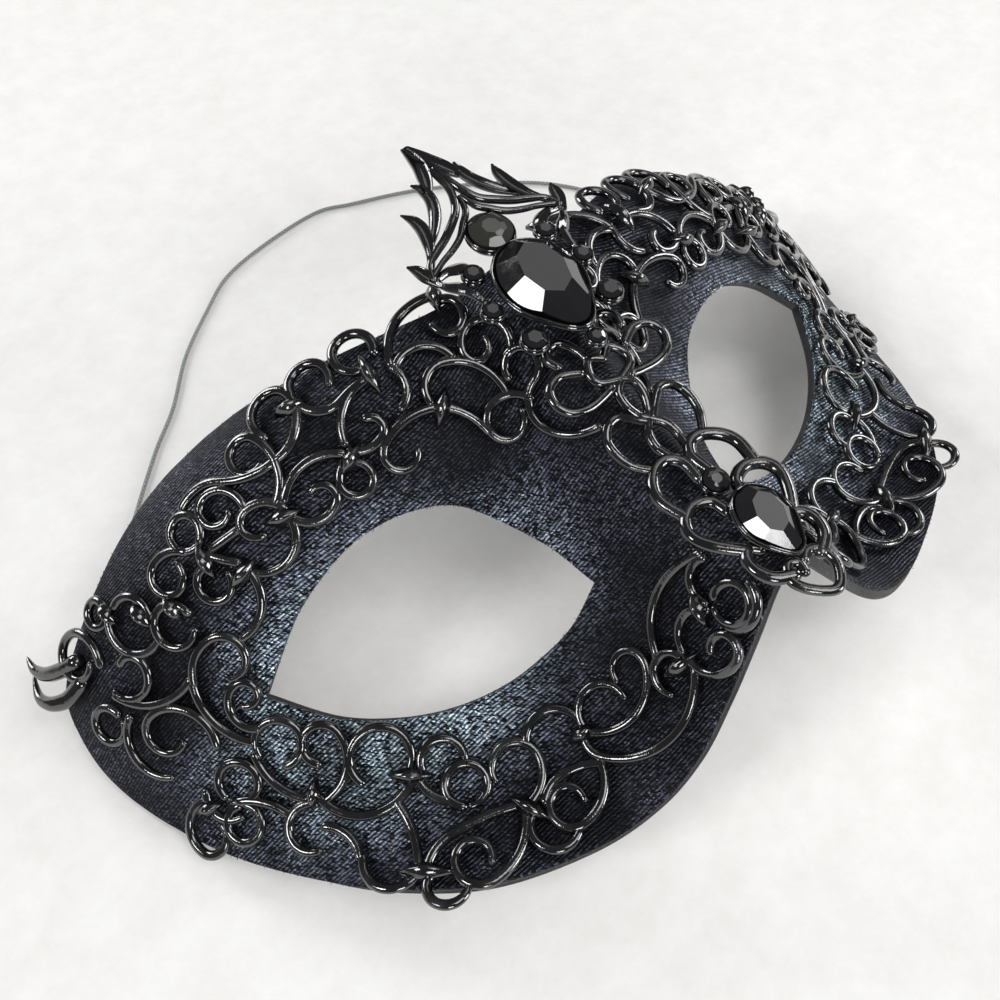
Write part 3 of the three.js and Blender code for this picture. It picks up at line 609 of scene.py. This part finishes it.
def add_cup(mould, spec):
    """A thin rim round the girdle over a shallow cup."""
    r, sides = spec["across"], CUP_SIDES
    wall, deep = (wide if r > limit else narrow for limit, wide, narrow in (CUP_WALL, CUP_DEPTH))
    # outwards from the stone's outline and upwards from its z, from the foot round to the inner lip
    profile = [
        (-0.32 * r, -deep), (-0.2 * r, -deep), (wall * 0.4, -1.25), (wall + 0.1, -0.85), (wall + 0.22, -0.62),
        (wall + 0.12, -0.4), (wall, -0.3), (wall + 0.14, -0.12), (wall + 0.12, 0.08), (wall - 0.02, 0.2),
        (0.06, 0.14), (-0.06, -0.1), (-0.25 * r, -0.6),
    ]
    angles = np.arange(sides) * 2 * math.pi / sides
    rows = []
    for grow, height in profile:
        ring = stone_outline(spec, angles, grow) + (spec["x"], spec["y"])
        rows.append(np.column_stack([ring, np.full(sides, spec["z"] + height)]))
    n = len(profile)
    faces = [
        (i * sides + j, i * sides + (j + 1) % sides, (i + 1) * sides + (j + 1) % sides, (i + 1) * sides + j)
        for i in range(n - 1) for j in range(sides)
    ]
    faces.append(tuple(range(sides))[::-1])
    faces.append(tuple(range((n - 1) * sides, n * sides)))
    mould.add(np.concatenate(rows), faces)


class Look:
    """A material whose nodes are added by calls and joined by name."""

    def __init__(self, name):
        self.material = bpy.data.materials.new(name)
        self.material.use_nodes = True
        self.tree = self.material.node_tree
        self.tree.nodes.clear()
        self.out = self.tree.nodes.new("ShaderNodeOutputMaterial")

    def node(self, kind, inputs=None, **settings):
        node = self.tree.nodes.new("ShaderNode" + kind)
        for key, value in settings.items():
            setattr(node, key, value)
        for key, value in (inputs or {}).items():
            socket = node.inputs[key]
            if isinstance(value, bpy.types.NodeSocket):
                self.tree.links.new(value, socket)
            else:
                socket.default_value = value
        return node

    def math(self, operation, a, b=0.0, c=0.0):
        return self.node("Math", {0: a, 1: b, 2: c}, operation=operation).outputs[0]

    def vector(self, operation, inputs):
        return self.node("VectorMath", inputs, operation=operation).outputs[0]

    def noise(self, vector, scale, detail=3.0, rough=0.5):
        inputs = {"Vector": vector, "Scale": scale, "Detail": detail, "Roughness": rough}
        return self.node("TexNoise", inputs).outputs

    def span(self, value, low, high, out_low=0.0, out_high=1.0):
        return self.node("MapRange", {0: value, 1: low, 2: high, 3: out_low, 4: out_high}).outputs[0]

    def blend(self, share, a, b):
        node = self.node("Mix", {0: share}, data_type="RGBA")
        for socket, value in ((node.inputs[6], a), (node.inputs[7], b)):
            if isinstance(value, bpy.types.NodeSocket):
                self.tree.links.new(value, socket)
            else:
                socket.default_value = (*value, 1)
        return node.outputs[2]

    def bump(self, height, distance, strength=1.0, normal=None):
        inputs = {"Height": height, "Distance": distance, "Strength": strength}
        if normal is not None:
            inputs["Normal"] = normal
        return self.node("Bump", inputs).outputs[0]

    def finish(self, shader):
        self.tree.links.new(shader, self.out.inputs[0])
        return self.material


# lengths in the looks are in metres
RIB_PITCH = 0.00054
GRAIN_PITCH = 0.00027
# the ellipse of painted highlight round an eye hole, where the glitter is made thicker and tealer, in the
# cloth's own coordinates
HIGHLIGHT_MIDDLE = (0.055, 0.011)
HIGHLIGHT_REACH = (0.03, 0.019)


def cloth_look():
    """Fine ribbed knit in near-black navy, with a steel-blue glint on each stitch, and painted highlight round
    the eye holes as thicker, tealer glitter.
    """
    look = Look("navy_glitter_knit")
    uv = look.node("UVMap", uv_map="cloth").outputs[0]
    # rows that wander a little, in cells of one stitch each
    wander = look.vector("SCALE", {0: look.noise(uv, 70, 2)[1], "Scale": 0.0018})
    laid = look.vector("ADD", {0: uv, 1: wander})
    parts = look.node("SeparateXYZ", {0: laid}).outputs
    wales = look.math("SINE", look.math("MULTIPLY", parts[1], 2 * math.pi / RIB_PITCH))
    slant = look.math("MULTIPLY_ADD", parts[1], 0.55, parts[0])
    stitch = look.node("CombineXYZ", {
        0: look.math("DIVIDE", slant, GRAIN_PITCH), 1: look.math("DIVIDE", parts[1], RIB_PITCH)}).outputs[0]
    cells = look.node("TexVoronoi", {"Vector": stitch, "Scale": 1.0, "Randomness": 0.85}, feature="F1")
    fluff = look.noise(uv, 5200, 3, 0.6)[0]
    breaks = look.noise(laid, 1500, 2, 0.6)[0]
    broken = look.math("MULTIPLY_ADD", breaks, 3.0, look.math("SUBTRACT", wales, 1.5))
    height = look.math("MULTIPLY_ADD", cells.outputs["Distance"], -1.6, look.math("MULTIPLY", broken, 0.7))
    height = look.math("MULTIPLY_ADD", fluff, 0.9, height)
    crush = look.noise(uv, 90, 2, 0.5)[0]
    normal = look.bump(crush, 0.0011, 0.25)
    normal = look.bump(height, 0.00007, 0.8, normal)

    # every stitch glints its own way
    toss = look.vector("SUBTRACT", {0: cells.outputs["Color"], 1: (0.5, 0.5, 0.5)})
    toss = look.vector("SCALE", {0: toss, "Scale": 0.4})
    tossed = look.vector("NORMALIZE", {0: look.vector("ADD", {0: normal, 1: toss})})
    hue = look.node("SeparateColor", {0: cells.outputs["Color"]}).outputs
    # painted highlight: the glitter is made thickest and tealer round the eye holes; it is also thicker in
    # some random patches than in others
    sheet = look.node("SeparateXYZ", {0: uv}).outputs
    sideways = look.math("SUBTRACT", look.math("ABSOLUTE", sheet[0]), HIGHLIGHT_MIDDLE[0])
    sideways = look.math("DIVIDE", sideways, HIGHLIGHT_REACH[0])
    upwards = look.math("DIVIDE", look.math("SUBTRACT", sheet[1], HIGHLIGHT_MIDDLE[1]), HIGHLIGHT_REACH[1])
    # painted highlight: how far a point lies from the middle of the bright ring round the eye hole, in ellipse
    # radii
    away = look.math("MULTIPLY_ADD", sideways, sideways, look.math("MULTIPLY", upwards, upwards))
    away = look.math("SQRT", away)
    patch_and_highlight = look.span(look.noise(uv, 50, 2)[0], 0.38, 0.58, 0.35, 1.6)
    # painted highlight: full glitter inside the ring round the eye hole, a fifth of it far off
    patch_and_highlight = look.math("MULTIPLY", patch_and_highlight, look.span(away, 0.75, 1.35, 1.0, 0.2))
    # painted highlight colour: teal glints near the eye holes, violet further off
    highlight_teal = look.blend(hue[1], (0.2, 0.25, 0.38), (0.76, 0.95, 1.0))
    violet = look.blend(hue[1], (0.17, 0.17, 0.28), (0.5, 0.55, 0.72))
    tint = look.blend(look.span(away, 0.7, 1.3), highlight_teal, violet)
    chosen = look.math("MULTIPLY", look.span(hue[2], 0.15, 0.95), patch_and_highlight)
    chosen = look.math("MULTIPLY", chosen, look.span(broken, -0.5, 0.6, 0.1, 1.0))
    body = look.node("BsdfPrincipled", {
        "Base Color": look.blend(wales, (0.0014, 0.0015, 0.002), (0.004, 0.0042, 0.0075)),
        "Roughness": 0.55, "Normal": normal, "Sheen Weight": 0.04, "Sheen Roughness": 0.3,
        "Sheen Tint": (0.55, 0.6, 0.9, 1), "Specular IOR Level": 0.12,
    }).outputs[0]
    glint = look.node("BsdfPrincipled", {
        "Base Color": tint, "Metallic": 1.0, "Roughness": 0.28, "Normal": tossed,
    }).outputs[0]
    return look.finish(look.node("MixShader", {0: chosen, 1: body, 2: glint}).outputs[0])


def lining_look():
    """Black felt."""
    look = Look("black_felt_lining")
    place = look.node("TexCoord").outputs["Object"]
    fluff = look.noise(place, 1900, 4, 0.7)[0]
    mottle = look.math("MULTIPLY_ADD", fluff, 0.9, look.math("SUBTRACT", look.noise(place, 160, 3)[0], 0.45))
    normal = look.bump(fluff, 0.00025, 0.8)
    shader = look.node("BsdfPrincipled", {
        "Base Color": look.blend(mottle, (0.003, 0.003, 0.004), (0.03, 0.03, 0.033)),
        "Roughness": 0.9, "Normal": normal, "Sheen Weight": 0.25, "Specular IOR Level": 0.2,
    }).outputs[0]
    return look.finish(shader)


def metal_look():
    """Cast metal under thick black lacquer, pitted and slightly uneven so that the highlights break up."""
    look = Look("black_lacquered_metal")
    place = look.node("TexCoord").outputs["Object"]
    peel = look.noise(place, 700, 3, 0.55)[0]
    grit = look.noise(place, 3600, 2, 0.6)[0]
    patches = look.noise(place, 240, 3, 0.6)[0]
    worn = look.span(look.node("NewGeometry").outputs["Pointiness"], 0.53, 0.62)
    worn = look.math("MULTIPLY", worn, look.span(patches, 0.45, 0.7))
    grit_share = look.span(patches, 0.42, 0.62, 0.15, 0.8)
    normal = look.bump(look.math("MULTIPLY_ADD", grit, grit_share, peel), 0.00009, 0.4)
    shader = look.node("BsdfPrincipled", {
        "Base Color": look.blend(worn, (0.002, 0.002, 0.0024), (0.07, 0.07, 0.072)),
        "Roughness": look.span(patches, 0.3, 0.7, 0.04, 0.11),
        "IOR": 1.9,
        "Normal": normal,
    }).outputs[0]
    return look.finish(shader)


def glass_look(name, colour):
    """Polished cut glass with a faint smear and hair scratches."""
    look = Look(name)
    place = look.node("TexCoord").outputs["Object"]
    smear = look.noise(place, 500, 4, 0.65)[0]
    scratch = look.noise(place, 7000, 2)[0]
    shader = look.node("BsdfPrincipled", {
        "Base Color": look.blend(look.noise(place, 300)[0], colour, tuple(c * 2.2 for c in colour)),
        "Roughness": look.span(smear, 0.4, 0.75, 0.03, 0.12),
        "IOR": 1.72,
        "Normal": look.bump(scratch, 0.000004, 0.5),
    }).outputs[0]
    return look.finish(shader)


BRAID_PITCH = 0.0009
BRAID_STRANDS = 3


def elastic_look():
    """Grey braid over a rubber core."""
    look = Look("grey_elastic")
    uv = look.node("UVMap", uv_map="cord").outputs[0]
    parts = look.node("SeparateXYZ", {0: uv}).outputs
    along = look.math("MULTIPLY", parts[0], 2 * math.pi / BRAID_PITCH)
    around = look.math("MULTIPLY", parts[1], 2 * math.pi * BRAID_STRANDS)
    one = look.math("SINE", look.math("ADD", along, around))
    two = look.math("SINE", look.math("SUBTRACT", along, around))
    braid = look.math("MAXIMUM", one, two)
    fluff = look.noise(look.node("TexCoord").outputs["Object"], 3000, 3)[0]
    shader = look.node("BsdfPrincipled", {
        "Base Color": look.blend(
            look.math("MULTIPLY_ADD", braid, 0.4, fluff), (0.1, 0.11, 0.11), (0.3, 0.315, 0.31)),
        "Roughness": 0.75, "Sheen Weight": 0.3,
        "Normal": look.bump(look.math("MULTIPLY_ADD", fluff, 0.5, braid), 0.00006, 0.8),
    }).outputs[0]
    return look.finish(shader)


def floor_look():
    """Pale, slightly warm stone with clouds and specks."""
    look = Look("pale_floor")
    place = look.node("TexCoord").outputs["Object"]
    clouds = look.noise(place, 9, 4, 0.55)[0]
    specks = look.noise(place, 130, 5, 0.75)[0]
    stain = look.span(clouds, 0.35, 0.7, 0, 0.4)
    stain = look.math("MULTIPLY_ADD", look.span(specks, 0.35, 0.65), 0.6, stain)
    shader = look.node("BsdfPrincipled", {
        "Base Color": look.blend(stain, (0.865, 0.858, 0.841), (0.77, 0.757, 0.733)),
        "Roughness": 0.7, "Normal": look.bump(specks, 0.0002, 0.3),
    }).outputs[0]
    return look.finish(shader)


METAL = metal_look()
CLOTH = cloth_look()
LINING = lining_look()
JET = glass_look("jet_black_glass", (0.004, 0.004, 0.0045))
SMOKY = glass_look("smoky_black_glass", (0.016, 0.017, 0.013))
ELASTIC = elastic_look()


# the cord lies beside the mask, in millimetres of the frame itself
CORD_DIAMETER = 0.8
CORD_SIDES = 12
CORD_STEPS_PER_POINT = 12
CORD_ROUTE = [
    (-73.8, 25.3, 12.84), (-73.2, 30, 11.84), (-71.8, 35, 8.84), (-69.2, 41, 4.84), (-65.4, 47.5, 2.14),
    (-60.7, 53.8, 0.55), (-55.7, 59.3, 0.55), (-45.7, 69.3, 0.55), (-37.7, 76.3, 0.55), (-28.7, 86.3, 0.55),
    (-18.7, 94.3, 0.55), (-9.7, 100.3, 0.55), (2.3, 103.3, 0.55), (16.3, 104.3, 0.55), (24.3, 101.3, 0.55),
    (36.3, 96.3, 0.55), (47.3, 89.8, 0.55), (57.3, 82.3, 0.55), (63.3, 76.3, 0.55), (68.3, 68.3, 0.55),
    (70.3, 60.8, 0.55), (70.6, 53, 2.14), (71.4, 45, 4.44), (72.4, 37.5, 7.84), (73.3, 31, 11.24),
    (73.8, 25.3, 12.84),
]


def add_cord():
    line = smooth_line(CORD_ROUTE, CORD_STEPS_PER_POINT * (len(CORD_ROUTE) - 1))
    line[:, 2] = np.maximum(line[:, 2], CORD_DIAMETER / 2)
    ups = np.tile((0.0, 0.0, 1.0), (len(line), 1))
    radii = np.full(len(line), CORD_DIAMETER / 2)
    points, faces = tube(line, ups, radii, round_section(CORD_SIDES), caps=False)
    data = bpy.data.meshes.new("elastic_cord_braid")
    data.from_pydata((points * MM).tolist(), [], faces)
    run = np.concatenate([[0], np.cumsum(np.linalg.norm(np.diff(line, axis=0), axis=1))]) * MM
    layer = data.uv_layers.new(name="cord")
    for polygon in data.polygons:
        for slot_index, loop in enumerate(polygon.loop_indices):
            vertex = data.loops[loop].vertex_index
            row, column = divmod(vertex, CORD_SIDES)
            wrapped = column == 0 and len(polygon.vertices) == 4 and slot_index in (2, 3)
            layer.data[loop].uv = (run[row], 1.0 if wrapped else column / CORD_SIDES)
    made = piece("elastic_cord_braid", data, ELASTIC, ["elastic_cord"])


add_cord()


NEARLY_ZERO = 1e-9
ARC_POINTS = 60


def eye_edge(lids, rim_point):
    """Where a ray from the middle of the eye towards the rim point meets the edge of the eye hole."""
    middle = np.array(EYE_MIDDLE, float)
    ray = rim_point - middle
    a = lids[:-1] - middle
    side = lids[1:] - lids[:-1]
    scale = ray[0] * side[:, 1] - ray[1] * side[:, 0]
    with np.errstate(divide="ignore", invalid="ignore"):
        along = (a[:, 0] * side[:, 1] - a[:, 1] * side[:, 0]) / scale
        across = (a[:, 0] * ray[1] - a[:, 1] * ray[0]) / scale
    hit = np.nonzero((along > 0) & (across >= -NEARLY_ZERO) & (across <= 1 + NEARLY_ZERO))[0][0]
    return middle + ray * along[hit]


def arc_length(x, y, axis):
    """How far the cloth runs over the shell to the point, from x = 0 or, up and down, from y = FORM_BASE."""
    t = np.linspace(0, 1, ARC_POINTS)[:, None]
    xs, ys = (x * t, y + 0 * t) if axis == 0 else (x + 0 * t, FORM_BASE + (y - FORM_BASE) * t)
    run = shell_point(xs, ys)
    total = np.linalg.norm(np.diff(run, axis=0), axis=2).sum(0)
    return total * np.sign(x if axis == 0 else y - FORM_BASE)


# outwards from the edge and down from the face, for a sheet of the usual thickness
EDGE_PROFILE = [(0.1, 0.1), (0.14, 0.3), (0.02, 0.45), (-0.04, 0.6), (-0.04, 1.45), (0.06, 1.6), (0.06, 1.85)]
# how many rows of an edge belong to the cloth; the rest is lining
EDGE_SPLIT = 4
EDGE_UV_STEP = 0.2
UNEVEN_HEIGHT = 0.13
UNEVEN_SCALE = 0.16
UNEVEN_SEED = Vector((7, 3, 1))


def shell_half():
    """Rows from the eye hole out to the rim: their places over the face, their points and normals."""
    rim = smooth_line(RIM, RIM_STEPS)
    ridge = np.linspace(rim[-1], rim[0], RIDGE_STEPS + 1)[1:-1]
    outer = np.concatenate([rim, ridge])
    lids = np.concatenate([smooth_line(UPPER_LID, LID_STEPS), smooth_line(LOWER_LID, LID_STEPS)[1:]])
    inner = np.array([eye_edge(lids, point) for point in outer])
    for corner in (UPPER_LID[0], UPPER_LID[-1]):
        inner[np.argmin(np.linalg.norm(inner - corner, axis=1))] = corner
    shares = np.linspace(0, 1, SHELL_ROWS)[:, None, None]
    plan = inner + (outer - inner) * shares
    x, y = plan[..., 0], plan[..., 1]
    return plan, shell_point(x, y), shell_normal(x, y), len(rim)


def fold_at(step):
    """How much thicker the folded-in cloth makes the rim at a step of its line."""
    place = step * (len(RIM) - 1) / RIM_STEPS
    return FOLD_THICKNESS * np.exp(-(((place - FOLD_AT) / FOLD_WIDTH) ** 2))


def outward_at(row, normals, other):
    """Unit vectors in the sheet that point away from the next row at a boundary row."""
    tangent = unit(np.roll(row, -1, 0) - np.roll(row, 1, 0))
    across = unit(np.cross(tangent, normals))
    return across * np.sign(np.einsum("ij,ij->i", across, row - other))[:, None]


THREADS_PER_STEP = 2
THREAD_HALF = 0.04
THREAD_LENGTH = (0.15, 0.55)
THREAD_ROOT = 0.1
THREAD_START = (0, 0.3)
THREAD_TILT = (-0.6, 0.5)
THREAD_SAG = (-0.12, 0.2)
# in metres
CLEAR_OF_TABLE = 0.0025
fraying = random.Random(11)


def fray(mould, uvs, lines, span, out, edge_uv):
    """Short loose threads that stand out from the cut edge of the cloth."""
    along = unit(np.roll(lines[1], -1, 0) - np.roll(lines[1], 1, 0))
    down = unit(lines[3] - lines[2])
    for j in span:
        if laid_down(lines[3][j:j + 1])[0, 2] < CLEAR_OF_TABLE:
            continue
        for _ in range(THREADS_PER_STEP):
            way = unit(out[j] + along[j] * fraying.uniform(-1, 1) - down[j] * fraying.uniform(*THREAD_TILT))
            length = fraying.uniform(*THREAD_LENGTH) * fraying.random()
            start = lines[1][j] + down[j] * fraying.uniform(*THREAD_START) - way * THREAD_ROOT
            sag = down[j] * fraying.uniform(*THREAD_SAG) * length
            middle = start + way * (THREAD_ROOT + length / 2) + sag
            places = np.array([start, middle, start + way * (THREAD_ROOT + length)])
            ups = np.tile(down[j], (3, 1))
            points, faces = tube(places, ups, [THREAD_HALF] * 3, round_section(3), caps=False)
            mould.add(points, faces)
            uvs.append(np.tile(edge_uv[j], (len(points), 1)))


def add_edge(mould, uvs, lines, span, sign, edge_uv):
    """Strips between the lines that run round an edge."""
    n = lines.shape[1]
    faces = []
    for k in range(len(lines) - 1):
        for j in span:
            quad = (k * n + j, k * n + (j + 1) % n, (k + 1) * n + (j + 1) % n, (k + 1) * n + j)
            faces.append(quad if sign > 0 else quad[::-1])
    mould.add(lines.reshape(-1, 3), faces)
    uvs.append(np.concatenate([edge_uv + (0, k * EDGE_UV_STEP) for k in range(len(lines))]))


def shell_half_moulds():
    """The cloth and the lining of the near half, each with its places over the plane of the face."""
    plan, front, normal, rim_count = shell_half()
    rows, columns = plan.shape[:2]
    points = front.reshape(-1, 3).copy()
    flat_normal = normal.reshape(-1, 3)
    # the glued cloth lies a little unevenly
    for i, (p, n) in enumerate(zip(points, flat_normal)):
        points[i] = p + n * UNEVEN_HEIGHT * noise.noise(Vector(p * UNEVEN_SCALE) + UNEVEN_SEED)
    depth = np.full((rows, columns), SHELL_THICKNESS)
    near_rim = np.clip(1 - np.linspace(1, 0, rows) / FOLD_REACH, 0, 1)
    depth[:, :rim_count] += np.outer(near_rim, fold_at(np.arange(rim_count)))
    back = front.reshape(-1, 3) - flat_normal * depth.reshape(-1, 1)
    uv_plan = plan.reshape(-1, 2)
    quads = [
        (i * columns + j, i * columns + (j + 1) % columns, (i + 1) * columns + (j + 1) % columns,
         (i + 1) * columns + j)
        for i in range(rows - 1) for j in range(columns)
    ]
    cloth, lining = Mould(), Mould()
    cloth.add(points, [quad[::-1] for quad in quads])
    lining.add(back, quads)
    uv_cloth, uv_lining = [uv_plan], [uv_plan]
    for index, span, sign in ((0, range(columns), 1), (rows - 1, range(rim_count - 1), -1)):
        row, row_normal = front[index], normal[index]
        out = outward_at(row, row_normal, front[1 if index == 0 else rows - 2])
        swell = depth[index][:, None] / SHELL_THICKNESS
        lines = np.array(
            [points.reshape(rows, columns, 3)[index]]
            + [row + out * o - row_normal * d * swell for o, d in EDGE_PROFILE]
            + [back.reshape(rows, columns, 3)[index]])
        edge_uv = plan[index]
        fray(cloth, uv_cloth, lines, span, out, edge_uv)
        add_edge(cloth, uv_cloth, lines[:EDGE_SPLIT + 1], span, sign, edge_uv)
        add_edge(lining, uv_lining, lines[EDGE_SPLIT:], span, sign, edge_uv)
    return cloth, np.concatenate(uv_cloth), lining, np.concatenate(uv_lining)


def shell_piece(name, mould, uv, look, nodes):
    """Both halves in one mesh, joined along the middle, with the cloth's own coordinates."""
    whole = Mould()
    points = np.concatenate(mould.points)
    whole.add(points, mould.faces)
    whole.add_twin(points, mould.faces)
    data = whole.mesh(name)
    # where the mask rests, the lining is pressed flat
    for vertex in data.vertices:
        vertex.co.z = max(vertex.co.z, 0)
    x, y = uv.T
    s, t = arc_length(x, y, 0) * MM, arc_length(x, y, 1) * MM
    s, t = np.concatenate([s, -s]), np.concatenate([t, t])
    layer = data.uv_layers.new(name="cloth")
    index = np.zeros(len(data.loops), int)
    data.loops.foreach_get("vertex_index", index)
    layer.data.foreach_set("uv", np.column_stack([s[index], t[index]]).ravel())
    joined = bmesh.new()
    joined.from_mesh(data)
    bmesh.ops.remove_doubles(joined, verts=joined.verts, dist=1e-6)
    joined.to_mesh(data)
    joined.free()
    piece(name, data, look, nodes, crease=60)


def add_shell():
    cloth, uv_cloth, lining, uv_lining = shell_half_moulds()
    shell_piece("shell_glitter_cloth", cloth, uv_cloth, CLOTH, ["mask_shell"])
    shell_piece("shell_felt_lining", lining, uv_lining, LINING, [])


add_shell()

CLAW_STEPS = 24
CLAW_SIDES = 12
CLAW_HALF = 1.35
CLAW_TIP = 0.1
CLAW_FULL_AT = 0.75
RIB_SIDES = 12


def add_claw(mould, points):
    """A claw that hooks over the edge, thickest before its blunt end."""
    line = smooth_line(points, CLAW_STEPS)
    middle = line[CLAW_STEPS // 2]
    up = shell_normal(middle[0], middle[1])
    share = np.linspace(0, 1, len(line))
    swell = CLAW_TIP + (1 - CLAW_TIP) * np.sin(math.pi * np.minimum(share, CLAW_FULL_AT) / (2 * CLAW_FULL_AT))
    mould.add(*tube(line, np.tile(up, (len(line), 1)), CLAW_HALF * swell, round_section(CLAW_SIDES)))


def add_scrollwork():
    """The four open castings of the near half and their mirror images."""
    for band, wires, collars, claws in (
        ("brow", BROW_WIRES, BROW_COLLARS, []),
        ("temple", TEMPLE_WIRES, TEMPLE_COLLARS, TEMPLE_CLAWS),
        ("cheek", CHEEK_WIRES, CHEEK_COLLARS, []),
        ("nose", NOSE_WIRES, NOSE_COLLARS, []),
    ):
        mould = Mould()
        for wire in wires:
            add_wire(mould, wire)
        for spec in collars:
            add_collar(mould, spec)
        for points in claws:
            add_claw(mould, points)
        for side in ("near", "far"):
            name = f"{band}_scrollwork_{side}"
            data = mould.mesh(name, twin=side == "far")
            piece(name, data, METAL, [f"{band}_filigree_{side}"], crease=60)


def add_castings():
    """The crown and the spray down the nose, with their cups and stones."""
    crown, spray = Mould(), Mould()
    for group, section in (
        (CROWN_HORNS, HORN_SECTION), (CROWN_RIBS, round_section(RIB_SIDES)), (CROWN_LEAVES, BLADE_SECTION),
    ):
        for points in group:
            made = horn(points, section)
            crown.add(*made)
            crown.add_twin(*made)
    for group, half in ((SPRAY_LOOPS, LOOP_HALF), (FLOWER_PETALS, PETAL_HALF)):
        for points in group:
            made = spray_rod(points, half)
            spray.add(*made)
            spray.add_twin(*made)
    spray.add(*spray_rod(HEART_DROP, DROP_HALF))
    for name, spec in STONES.items():
        add_cup(crown if name.startswith("crown") else spray, spec)
        cut_stone(name, spec, SMOKY if name == "crown_round_stone" else JET)
    for node, mould in (("crown", crown), ("centre_spray", spray)):
        name = f"{node}_casting"
        piece(name, mould.mesh(name), METAL, [node], crease=45)


add_scrollwork()
add_castings()

# the room, in metres
FLOOR_REACH = 3.0
DOME_COLOUR = (0.93, 0.95, 1.0, 1)
DOME_STRENGTH = 0.14
LAMP_DISTANCE = 1.2
# name, azimuth (0 in front of the nose edge, 90 at the far side), elevation, side of the square, radiance
LAMPS = [
    ("left_window", 261, 38, 0.3, 16.5),
    ("front_panel", 15, 66, 0.6, 4.2),
    ("back_panel", 195, 20, 0.5, 9.5),
    ("far_panel", 85, 18, 0.4, 9.6),
    ("near_right_panel", 30, 20, 0.4, 13.2),
    ("near_left_panel", 325, 24, 0.3, 12),
    ("ceiling_panel", 122, 53, 0.55, 0.8),
    ("second_ceiling_panel", 92, 60, 0.3, 1.5),
]


def add_floor():
    data = bpy.data.meshes.new("floor")
    r = FLOOR_REACH
    data.from_pydata([(-r, -r, 0), (r, -r, 0), (r, r, 0), (-r, r, 0)], [], [(0, 1, 2, 3)])
    data.materials.append(floor_look())
    floor = bpy.data.objects.new("floor", data)
    bpy.context.scene.collection.objects.link(floor)


def add_light(name, azimuth, elevation, size, radiance):
    """A soft square lamp that faces the mask."""
    a, e = math.radians(azimuth), math.radians(elevation)
    direction = Vector((math.sin(a) * math.cos(e), -math.cos(a) * math.cos(e), math.sin(e)))
    data = bpy.data.lights.new(name, "AREA")
    data.size = size
    data.energy = radiance * math.pi * size * size
    lamp = bpy.data.objects.new(name, data)
    lamp.location = direction * LAMP_DISTANCE
    lamp.rotation_mode = "QUATERNION"
    lamp.rotation_quaternion = direction.to_track_quat("Z", "Y")
    bpy.context.scene.collection.objects.link(lamp)


def add_world():
    world = bpy.data.worlds.new("room")
    world.use_nodes = True
    background = world.node_tree.nodes["Background"]
    background.inputs[0].default_value = DOME_COLOUR
    background.inputs[1].default_value = DOME_STRENGTH
    bpy.context.scene.world = world


add_floor()
add_world()
for lamp in LAMPS:
    add_light(*lamp)
bpy.context.scene.view_settings.view_transform = "Standard"
